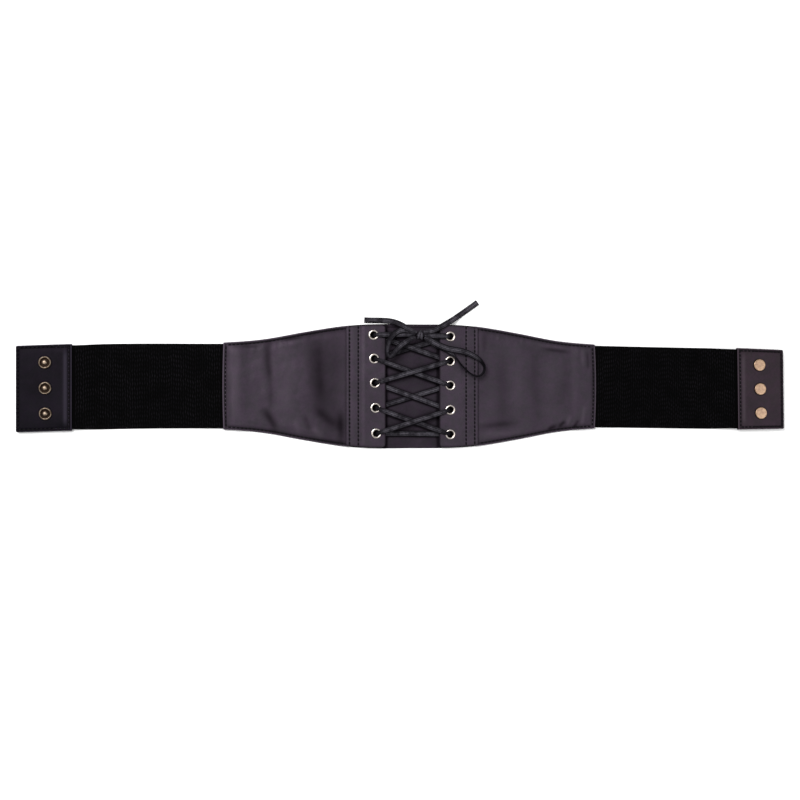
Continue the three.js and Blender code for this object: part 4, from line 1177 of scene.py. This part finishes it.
def make_modesty():
    def faces(distance, y):
        edge_in = outline_half(distance) - abs(y)
        wave = 0.25 * noise.noise(Vector((distance * 0.09, y * 0.05, 31.0)))
        pleat = 0.2 * math.sin(distance * 0.35 + 0.05 * y) * smooth(edge_in, 2, 12)
        high = MODESTY_WALL + (wave + pleat * 0.5) * (1 - smooth(abs(distance), 16, 24)) - 0.1
        return rolled(0.0, high, edge_in, 0.6)

    # Painted shade: the strips' shadow beside their inner edges and the laces' shadows, with a dark line
    # 2.6 mm in from the top edge
    def shade(distance, y):
        strip_shadow = 1 - smooth(STRIP_INNER - abs(distance), 0.8, 3.6)
        top_line = hump(outline_half(distance) - y, 2.6, 0.7)
        return clamp(0.95 * strip_shadow + 0.8 * top_line + lace_shade(distance, y))

    layer = Layer(1, outline_half, faces)
    columns = tidy(steps(-MODESTY_REACH, MODESTY_REACH, 0.9))
    bm = layer_bmesh(layer, columns, border_rows(MODESTY_ROWS), seam=shade)
    finish_piece("modesty_skin", bm, MODESTY_SHADED_LEATHER, ["modesty_panel"], 50)


# Elastic
RIB_PITCH = 2.1
RIB_HEIGHT = 0.28
ELASTIC_ROWS = 38
ELASTIC_SETTLE = 30.0  # the length over which it comes down from a pocket


def elastic_levels(side):
    pocket = SKIN_WALL + LAYER_GAP
    tab_pocket = side["tab"][0].z + pocket

    def level(distance):
        leaving = 1 - smooth(distance, PANEL_OUTER + LAYER_GAP, PANEL_OUTER + ELASTIC_SETTLE)
        arriving = smooth(distance, side["tab_start"] - ELASTIC_SETTLE, side["tab_start"] - LAYER_GAP)
        return pocket * leaving + tab_pocket * arriving

    return level


def rib(distance, y, seed):
    """The webbing's ribs run across it and weave a little from side to side."""
    sway = 0.28 * math.sin(2 * math.pi * y / 7.2)
    sway += 0.5 * noise.noise(Vector((distance * 0.03, y * 0.08, seed)))
    return 0.5 + 0.5 * math.cos(2 * math.pi * (distance + sway) / RIB_PITCH)


def make_elastic(side):
    level = elastic_levels(side)
    seed = side["seed"] + 40

    def half(distance):
        near = smooth(distance, side["tab_start"] - ELASTIC_SETTLE, side["tab_start"] - LAYER_GAP)
        return ELASTIC_HALF - ELASTIC_DRAW_IN * near

    def faces(distance, y):
        edge_in = half(distance) - abs(y)
        shown = smooth(distance, PANEL_OUTER, PANEL_OUTER + 2)
        shown *= 1 - smooth(distance, side["tab_start"] - 2, side["tab_start"])
        dip = RIB_HEIGHT * (1 - rib(distance, y, seed)) * shown * smooth(edge_in, 0.5, 2.5)
        low = level(distance)
        selvedge = -0.25 * (1 - smooth(edge_in, 0.0, 1.8))
        return rolled(low + dip * 0.4, low + ELASTIC_WALL - dip + selvedge, edge_in, 0.6)

    layer = Layer(side["hand"], half, faces, wing_drop(side), end_slant(side))
    ends = PANEL_OUTER - TUCK + LAYER_GAP, side["tab_start"] + TUCK - LAYER_GAP
    columns = tidy(
        steps(ends[0], PANEL_OUTER, 3) + steps(PANEL_OUTER, side["tab_start"], 0.42)
        + steps(side["tab_start"], ends[1], 3)
    )
    rows = border_rows(ELASTIC_ROWS)

    # Painted highlight on the rib crests, dimmed by painted shadow near the pocket mouths
    def crest_highlight(distance, y):
        shown = min(distance - PANEL_OUTER, side["tab_start"] - distance)
        return rib(distance, y, seed) * mix(0.35, 1, smooth(shown, 0.5, 3.5))

    bm = layer_bmesh(layer, columns, rows, edge=crest_highlight)
    name = f"elastic_{side['name']}"
    finish_piece(f"webbing_{side['name']}", bm, ELASTIC, [name])


# End tabs
SHANK_HOLE = 3.2
TAB_ROWS = 72


def tab_layer(side):
    low_level = side["tab"][0].z
    start, end = side["tab_start"], side["end"]
    seed = side["seed"] + 60

    def half(distance):
        along = (distance - start) / (end - start)
        return mix(TAB_HALF, side["tab_end_half"], along) - corner_cut(end - distance, TAB_CORNER)

    def faces(distance, y):
        edge_in = half(distance) - abs(y)
        end_in = end - distance
        mouth_in = distance - start
        inward = min(edge_in, end_in, mouth_in)
        over_elastic = 1 - smooth(mouth_in, 9, 17)
        inner = smooth(inward, STITCH_BORDER, STITCH_BORDER + 5)
        soft = 0.18 * noise.noise(Vector((distance * 0.07, y * 0.06, seed))) * inner
        bead = 0.22 * hump(inward, 1.3, 0.9)
        high = low_level + END_WALL - 0.25 + 0.15 * inner + 0.4 * over_elastic * inner
        high += soft + bead + stitch_groove(inward, 0.4)
        low, high = rolled(low_level, high, edge_in, 0.9)
        low, high = rolled(low, high, end_in, 0.9)
        return rolled(low, high, mouth_in, 0.6, POCKET_LIP)

    return Layer(side["hand"], half, faces, wing_drop(side), end_slant(side))


def make_tab(side, material, snap_nodes):
    layer = tab_layer(side)
    start, end = side["tab_start"], side["end"]

    def inset(distance, y):
        return min(layer.half(distance) - abs(y), end - distance, distance - start)

    # Painted shade in the border's groove and band
    def shade(distance, y):
        return border_shade(inset(distance, y))

    # Painted highlight along the folded edges (partly wear) and in a band across the tab near its mouth
    def shine(distance, y):
        ends = smooth(layer.half(distance) - abs(y), 2, 12)
        return clamp(fold_shine(inset(distance, y)) + 0.6 * ends * hump(distance - start, 5.4, 1.6))

    middle_steps = steps(start + BORDER_STEPS[-1], end - BORDER_STEPS[-1], 0.9)
    corner = [end - TAB_CORNER * share for share in (0.02, 0.2, 0.6)]
    border = [start + e for e in BORDER_STEPS] + [end - e for e in BORDER_STEPS]
    columns = tidy(border + middle_steps + corner)
    holes = [(node_middle(node).x, node_middle(node).y, SHANK_HOLE / 2) for node in snap_nodes]
    bm = layer_bmesh(layer, columns, border_rows(TAB_ROWS), holes, shade, shine)
    cut_pocket(bm, layer, start, ELASTIC_HALF - ELASTIC_DRAW_IN + LAYER_GAP, -TUCK, POCKET_SKIN)
    name = f"tab_{side['name']}"
    finish_piece(f"tab_skin_{side['name']}", bm, material, [name], 50)
    return layer


# Stitches
def stitch_bmesh(runs):
    """Every run is a list of places with their direction, one for each stitch."""
    size = Matrix.Diagonal((STITCH_THICKNESS, STITCH_THICKNESS, STITCH_LENGTH, 1))
    bm = bmesh.new()
    for run in runs:
        row = bmesh.new()
        for at, way in run:
            made = bmesh.ops.create_uvsphere(row, u_segments=8, v_segments=5, radius=0.5)["verts"]
            facing = way.to_track_quat("Z", "Y").to_matrix().to_4x4()
            bmesh.ops.transform(row, matrix=Matrix.Translation(at) @ facing @ size, verts=made)
        add_to(bm, row)
    return bm


def stitch_run(layer, points):
    """Stitches a pitch apart along a line of distance and height points on a layer."""
    line = [layer.on_top(distance, y) for distance, y in points]
    run = []
    wanted = STITCH_PITCH / 2
    travelled = 0.0
    for a, b in zip(line, line[1:]):
        length = (b - a).length
        while wanted <= travelled + length:
            at = a.lerp(b, (wanted - travelled) / length)
            way = (b - a).normalized()
            skew = Quaternion((0, 0, 1), math.radians(4 * math.sin(wanted * 1.7)))
            run.append((at + Vector((0, 0, STITCH_RISE)), skew @ way))
            wanted += STITCH_PITCH
        travelled += length
    return run


def edge_line(layer, start, end, sign, inset=STITCH_BORDER):
    return [(d, sign * (layer.half(d) - inset)) for d in steps(start, end, 1.0)]


def cross_line(distance, low, high):
    return [(distance, y) for y in steps(low, high, 1.0)]


def make_stitches(side, panel, strip, tab):
    runs = []
    panel_end = PANEL_OUTER - STITCH_BORDER
    tab_start, tab_end = side["tab_start"] + STITCH_BORDER, side["end"] - STITCH_BORDER
    end_half = END_HALF - STITCH_BORDER
    for sign in (-1, 1):
        runs.append(stitch_run(panel, edge_line(panel, STRIP_OUTER + 2, panel_end, sign)))
        runs.append(stitch_run(tab, edge_line(tab, tab_start, tab_end, sign)))
    runs.append(stitch_run(panel, cross_line(panel_end, -end_half, end_half)))
    for distance in (tab_start, tab_end):
        reach = tab.half(distance) - STITCH_BORDER
        runs.append(stitch_run(tab, cross_line(distance, -reach, reach)))
    for seam in STRIP_SEAMS:
        reach = strip.half(seam) - 0.6
        runs.append(stitch_run(strip, cross_line(seam, -reach, reach)))
    finish_piece(f"stitching_{side['name']}", stitch_bmesh(runs), THREAD)


# Metal fittings
SPIN_STEPS = 56


def turned_bmesh(profile, x, y, level):
    """A turned fitting: the profile's rows are radius, level and how deep in a crevice it lies, which
    darkens it with tarnish and painted shade.
    """
    bm = bmesh.new()
    tarnish_and_shade = bm.verts.layers.float.new("tarnish_and_shade")
    line = []
    for radius, height, dark in profile:
        vert = bm.verts.new((radius, 0, height))
        vert[tarnish_and_shade] = dark
        line.append(vert)
    edges = [bm.edges.new(pair) for pair in zip(line, line[1:])]
    bmesh.ops.spin(
        bm, geom=line + edges, cent=(0, 0, 0), axis=(0, 0, 1), angle=2 * math.pi, steps=SPIN_STEPS,
        use_merge=True,
    )
    bmesh.ops.remove_doubles(bm, verts=bm.verts[:], dist=1e-4)
    bmesh.ops.translate(bm, vec=(x, y, level), verts=bm.verts[:])
    return bm


def rounded_profile(points, radius=0.16, bend_steps=3):
    """The profile with its corners rounded by a small radius."""
    result = [points[0]]
    for before, here, after in zip(points, points[1:], points[2:]):
        corner = Vector(here[:2])
        inward = Vector(before[:2]) - corner
        onward = Vector(after[:2]) - corner
        reach = min(radius, inward.length * 0.45, onward.length * 0.45)
        start = corner + inward.normalized() * reach
        end = corner + onward.normalized() * reach
        for k in range(bend_steps + 1):
            t = k / bend_steps
            spot = start * (1 - t) ** 2 + corner * 2 * t * (1 - t) + end * t * t
            result.append((spot.x, spot.y, here[2]))
    result.append(points[-1])
    return result


def make_eyelets(side):
    bore = EYELET_HOLE / 2
    barrel = EYELET_BARREL / 2
    front_rim, back_rim = EYELET_RIM / 2, 4.0
    front_base, back_top = EYELET_TOP - 0.6, EYELET_BASE + 0.5
    for row in range(EYELET_ROWS):
        node = f"eyelet_{side['name']}_{row + 1}"
        middle = node_middle(node)
        # The third number darkens the ring with tarnish and painted shade, most of all in its bore and
        # under its rims
        profile = [
            (bore, mix(EYELET_BASE, EYELET_TOP, 0.5), 0.9),
            (bore, EYELET_BASE + 0.2, 0.9),
            (bore + 0.2, EYELET_BASE, 0.5),
            (back_rim - 0.2, EYELET_BASE, 0.2),
            (back_rim, EYELET_BASE + 0.25, 0.1),
            (back_rim, back_top, 0.4),
            (barrel, back_top, 0.8),
            (barrel, front_base, 0.8),
            (front_rim - 0.05, front_base, 0.6),
            (front_rim, front_base + 0.12, 0.7),
            (front_rim - 0.18, front_base + 0.38, 0.0),
            (front_rim - 0.55, EYELET_TOP - 0.04, 0.0),
            (front_rim - 0.95, EYELET_TOP, 0.0),
            (front_rim - 1.15, EYELET_TOP - 0.06, 0.4),
            (front_rim - 1.4, EYELET_TOP - 0.16, 0.8),
            (bore + 0.28, EYELET_TOP - 0.34, 1.0),
            (bore + 0.06, EYELET_TOP - 0.62, 1.0),
            (bore, EYELET_TOP - 0.95, 0.9),
            (bore, mix(EYELET_BASE, EYELET_TOP, 0.5), 0.9),
        ]
        bm = turned_bmesh(profile, middle.x, middle.y, 0)
        finish_piece(f"eyelet_ring_{side['name']}_{row + 1}", bm, EYELET_METAL, [node], 60)


def make_snaps():
    for k in (1, 2, 3):
        low, high = node_box(f"snap_stud_{k}")
        middle = (low + high) / 2
        stud = rounded_profile([
            (0, 2.6, 0), (1.2, 2.56, 0), (1.85, 2.25, 0), (2.1, 1.75, 0.05), (1.75, 0.95, 0.6),
            (2.3, 0.5, 1.0), (3.7, 0.5, 1.0), (4.25, 1.3, 0.3), (4.7, 1.5, 0), (5.15, 1.3, 0),
            (5.5, 0.6, 0.15), (5.5, 0, 0.5), (1.6, 0, 0.5), (1.6, 0.32, 0.5), (0, 0.32, 0.5),
        ])
        bm = turned_bmesh(stud, middle.x, middle.y, low.z)
        finish_piece(f"stud_{k}", bm, STUD_METAL, [f"snap_stud_{k}"], 60)

        low, high = node_box(f"snap_post_{k}")
        tip = high.z - low.z
        post = rounded_profile([
            (0, 0, 0), (4.4, 0, 0), (5, 0.25, 0.1), (5, 0.6, 0.4), (1.4, 0.6, 0.6), (1.4, tip, 0.5),
            (0, tip, 0.5),
        ])
        bm = turned_bmesh(post, middle.x, middle.y, low.z)
        finish_piece(f"post_{k}", bm, STUD_METAL, [f"snap_post_{k}"], 60)

        low, high = node_box(f"snap_cap_{k}")
        middle = (low + high) / 2
        top = high.z - low.z
        # The third numbers paint shade darkest round the cap's lower rim and underside, with some tarnish
        cap = rounded_profile([
            (0, top, 0), (1.4, top + 0.02, 0.06), (3.2, top, 0), (4.9, top - 0.05, 0),
            (5.3, top - 0.2, 0.1), (5.55, top - 0.55, 0.85), (5.85, top - 0.9, 1.0),
            (5.85, top - 1.3, 1.0), (1.4, top - 1.3, 0.8), (1.4, 0, 0.6), (0, 0, 0.6),
        ], 0.2)
        bm = turned_bmesh(cap, middle.x, middle.y, low.z)
        finish_piece(f"cap_{k}", bm, CAP_METAL, [f"snap_cap_{k}"], 60)

        low, high = node_box(f"snap_socket_{k}")
        socket = rounded_profile([
            (1.6, 1.85, 0.8), (1.6, 2.4, 0.5), (6, 2.4, 0.4), (6, 1.45, 0.1), (5.3, 1.0, 0.5),
            (4.5, 0.25, 0), (4.1, 0, 0), (2.9, 0, 0), (2.6, 0.2, 0.3), (2.6, 1.32, 0.9),
            (1.6, 1.32, 0.9), (1.6, 1.85, 0.8),
        ])
        bm = turned_bmesh(socket, middle.x, middle.y, low.z)
        finish_piece(f"socket_{k}", bm, STUD_METAL, [f"snap_socket_{k}"], 60)


def make_side(side, tab_material, snap_node):
    panel = make_panel(side)
    strip = make_strip(side)
    make_elastic(side)
    tab = make_tab(side, tab_material, [f"{snap_node}_{k}" for k in (1, 2, 3)])
    make_stitches(side, panel, strip, tab)
    make_eyelets(side)


make_modesty()
make_side(LEFT, STUD_TAB_LEATHER, "snap_post")
make_side(RIGHT, CAP_TAB_LEATHER, "snap_socket")
make_snaps()


# Floor and light
FLOOR_SIZE = 4.0
FLOOR_GAP = 0.00005


def make_floor():
    bm = bmesh.new()
    bmesh.ops.create_grid(bm, x_segments=1, y_segments=1, size=FLOOR_SIZE)
    mesh = bpy.data.meshes.new("floor")
    bm.to_mesh(mesh)
    bm.free()
    finish = Finish("floor_paper", Roughness=0.9, Specular_IOR_Level=0.1)
    tone = finish.remap(finish.noise(finish.place(), 3.0), 0.3, 0.7, 0.0, 1.0)
    colour = finish.blend(tone, srgb(244, 244, 244), srgb(248, 248, 248))
    finish.feed(finish.shader.inputs["Base Color"], colour)
    mesh.materials.append(finish.material)
    floor = bpy.data.objects.new("floor", mesh)
    floor.location.z = -FLOOR_GAP
    bpy.context.scene.collection.objects.link(floor)


def make_light(name, location, target, size, power):
    data = bpy.data.lights.new(name, "AREA")
    data.shape = "RECTANGLE"
    data.size, data.size_y = size
    data.energy = power
    light = bpy.data.objects.new(name, data)
    light.location = location
    light.rotation_euler = (Vector(target) - Vector(location)).to_track_quat("-Z", "Y").to_euler()
    bpy.context.scene.collection.objects.link(light)


def make_lights():
    world = bpy.data.worlds.new("studio")
    world.use_nodes = True
    world.node_tree.nodes["Background"].inputs["Color"].default_value = (1, 1, 1, 1)
    world.node_tree.nodes["Background"].inputs["Strength"].default_value = 0.45
    bpy.context.scene.world = world
    make_light("key", (-0.7, 0.6, 1.4), (0, 0, 0), (0.9, 0.8), 34)
    make_light("fill", (1.1, -0.4, 1.3), (0, 0, 0), (1.4, 1.2), 12)
    bpy.context.scene.view_settings.view_transform = "Standard"


make_floor()
make_lights()
